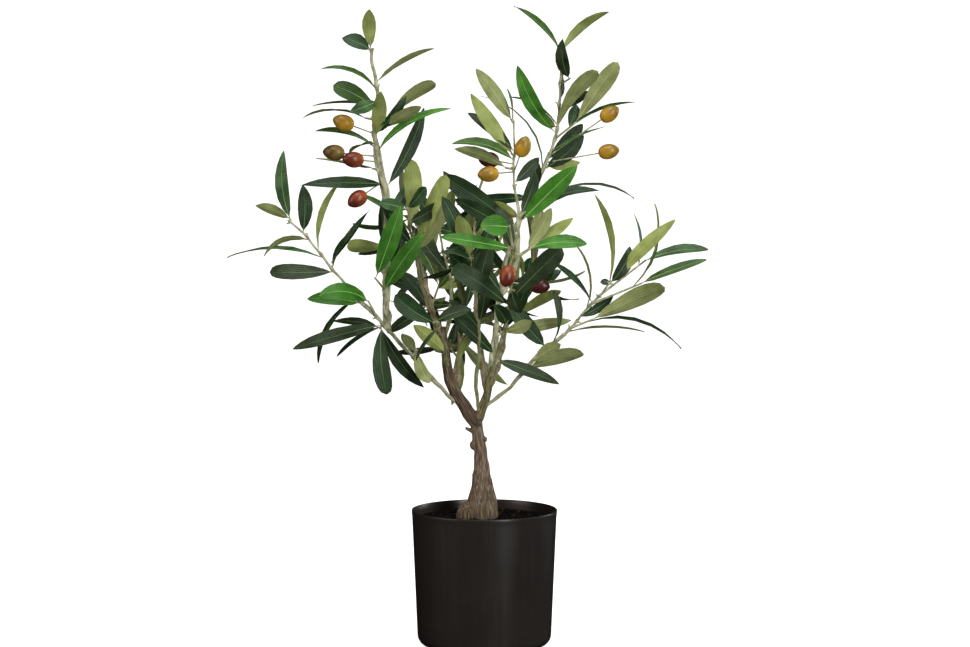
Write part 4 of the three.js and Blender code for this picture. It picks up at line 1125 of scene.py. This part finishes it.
def makeOliveSkin(tone, dark, light):
    # Painted polystyrene under a satin lacquer: a second colour is sprayed on from one end.
    material, coordinates = startMaterial("lacquered_polystyrene_" + tone)
    place = coordinates["Object"]
    ends = addNode(material, "ShaderNodeSeparateXYZ", {"Vector": coordinates["UV"]})
    spread = addNode(material, "ShaderNodeMath", {
        "operation": "MULTIPLY_ADD", 0: addNoise(material, place, 8, 3), 1: 1.4,
        2: ends.outputs["Y"]}).outputs[0]
    share = addRange(material, spread, 0.75, 1.6, 1, 0)
    return finishMaterial(material, {
        "Base Color": addMix(material, share, dark, light), "Roughness": 0.34, "IOR": 1.5,
        "Normal": addBump(material, addNoise(material, place, 0.8, 2), 0.08, 0.2)})


def addOlives(spray):
    bm = bmesh.new()
    tones = list(oliveColours)
    for line, row in zip(spray["oliveLines"], spray["olives"]):
        centre = (row["stalk"] + olive["length"] / 2) / line["length"]
        middle, side, normal, tangent = frameOn(line, centre)
        firstFace = len(bm.faces)
        made = bmesh.ops.create_uvsphere(
            bm, u_segments=oliveShape["around"], v_segments=oliveShape["along"], radius=1)
        uv = bm.loops.layers.uv.verify()
        bm.faces.ensure_lookup_table()
        for face in bm.faces[firstFace:]:
            face.material_index = tones.index(row["tone"])
            for loop in face.loops:
                loop[uv].uv = (0.5, (loop.vert.co.z + 1) / 2)
        for vert in made["verts"]:
            x, y, z = vert.co
            reach = z * olive["length"] / 2 + oliveShape["tip"] * max(0, z) ** oliveShape["tipPower"]
            reach += oliveShape["dimple"] * max(0, -z) ** oliveShape["dimplePower"]
            radius = olive["width"] / 2 * (1 - oliveShape["slimmer"] * z)
            vert.co = middle + (side * x + normal * y) * radius + tangent * reach
    bmesh.ops.recalc_face_normals(bm, faces=bm.faces)
    addPiece(spray["name"] + "_olives", bm, oliveSkins, "olive", spray["name"] + "_spray")


addPot()
addFill()
addCrumbs()
print("pot and fill made")
addBark()
stemPlastics = {name: makeStemPlastic(name, *pair) for name, pair in stemColours.items()}
leafMaterials = makeLeafMaterials()
leafParts = list(leafMaterials)
leafGrid = makeLeafGrid()
oliveSkins = [makeOliveSkin(tone, *pair) for tone, pair in oliveColours.items()]
for number, spray in enumerate(laid):
    addStems(spray, number)
    addLeaves(spray)
    if spray["olives"]:
        addOlives(spray)
print("stems, leaves and olives made")


# The studio, in metres: a pale round sweep, soft lamps and the camera.
studio = dict(
    floorRadius=5.0, wallHeight=3.2, bend=(1.6, 12), steps=72, sweepColour="#f4f4f2", sweepGlow=0.8,
    skyStrength=0.3, aim=(0, 0, 0.33),
    lamps=[
        dict(name="key", azimuth=32, elevation=15, distance=2.6, size=(0.5, 2.2), power=44,
             colour="#fffdf6"),
        dict(name="side", azimuth=119, elevation=14, distance=2.6, size=(0.4, 2.0), power=20,
             colour="#ffffff"),
        dict(name="left", azimuth=-62, elevation=18, distance=2.8, size=(1.6, 2.2), power=26,
             colour="#ffe9da"),
        dict(name="overhead", azimuth=-20, elevation=74, distance=2.6, size=(1.6, 1.6), power=42,
             colour="#ffffff"),
    ],
)
cameraPlace = dict(at=(0.0006, -2.2, 0.45), target=(0.0006, 0, 0.301), lens=88.0, sensorWidth=36)


def makeSweepPaper():
    # Seamless background paper, matt white; its faint glow stands for the light that falls on it.
    material, coordinates = startMaterial("seamless_paper")
    tooth = addNoise(material, coordinates["Object"], 3, 2)
    return finishMaterial(material, {
        "Base Color": linear(studio["sweepColour"]), "Roughness": 0.9, "Emission Color": (1, 1, 1, 1),
        "Emission Strength": studio["sweepGlow"], "Normal": addBump(material, tooth, 0.03, 0.2)})


# Sets a lamp or a camera at a place, turned to look back along away.
def addHolder(name, data, at, away):
    holder = bpy.data.objects.new(name, data)
    holder.location = at
    holder.rotation_euler = away.to_track_quat("Z", "Y").to_euler()
    bpy.context.scene.collection.objects.link(holder)
    return holder


def addStudio():
    reach = studio["floorRadius"]
    profile = [(0, 0), (reach, 0, *studio["bend"]), (reach, studio["wallHeight"])]
    sweep = addMesh("paper_sweep", spun(profile, studio["steps"]), [makeSweepPaper()])
    # The paper's white isn't a lamp: the lamps and the sky alone light the tree and shine in the pot.
    sweep.visible_diffuse = sweep.visible_glossy = False

    for row in studio["lamps"]:
        lamp = bpy.data.lights.new(row["name"], "AREA")
        lamp.shape, (lamp.size, lamp.size_y) = "RECTANGLE", row["size"]
        lamp.energy, lamp.color = row["power"], linear(row["colour"])[:3]
        azimuth, elevation = math.radians(row["azimuth"]), math.radians(row["elevation"])
        away = Vector((math.sin(azimuth) * math.cos(elevation), -math.cos(azimuth) * math.cos(elevation),
                       math.sin(elevation)))
        holder = addHolder(row["name"], lamp, Vector(studio["aim"]) + away * row["distance"], away)
        holder.visible_camera = False

    world = bpy.data.worlds.new("white_tent")
    world.use_nodes = True
    sky = world.node_tree.nodes["Background"]
    sky.inputs["Color"].default_value = (1, 1, 1, 1)
    sky.inputs["Strength"].default_value = studio["skyStrength"]
    world.cycles_visibility.glossy = False  # only the lamps shine in the pot and on the leaves
    bpy.context.scene.world = world

    camera = bpy.data.cameras.new("camera")
    camera.lens, camera.sensor_width = cameraPlace["lens"], cameraPlace["sensorWidth"]
    away = Vector(cameraPlace["at"]) - Vector(cameraPlace["target"])
    bpy.context.scene.camera = addHolder("camera", camera, cameraPlace["at"], away)
    bpy.context.scene.view_settings.view_transform = "Standard"


addStudio()
print("studio lit")
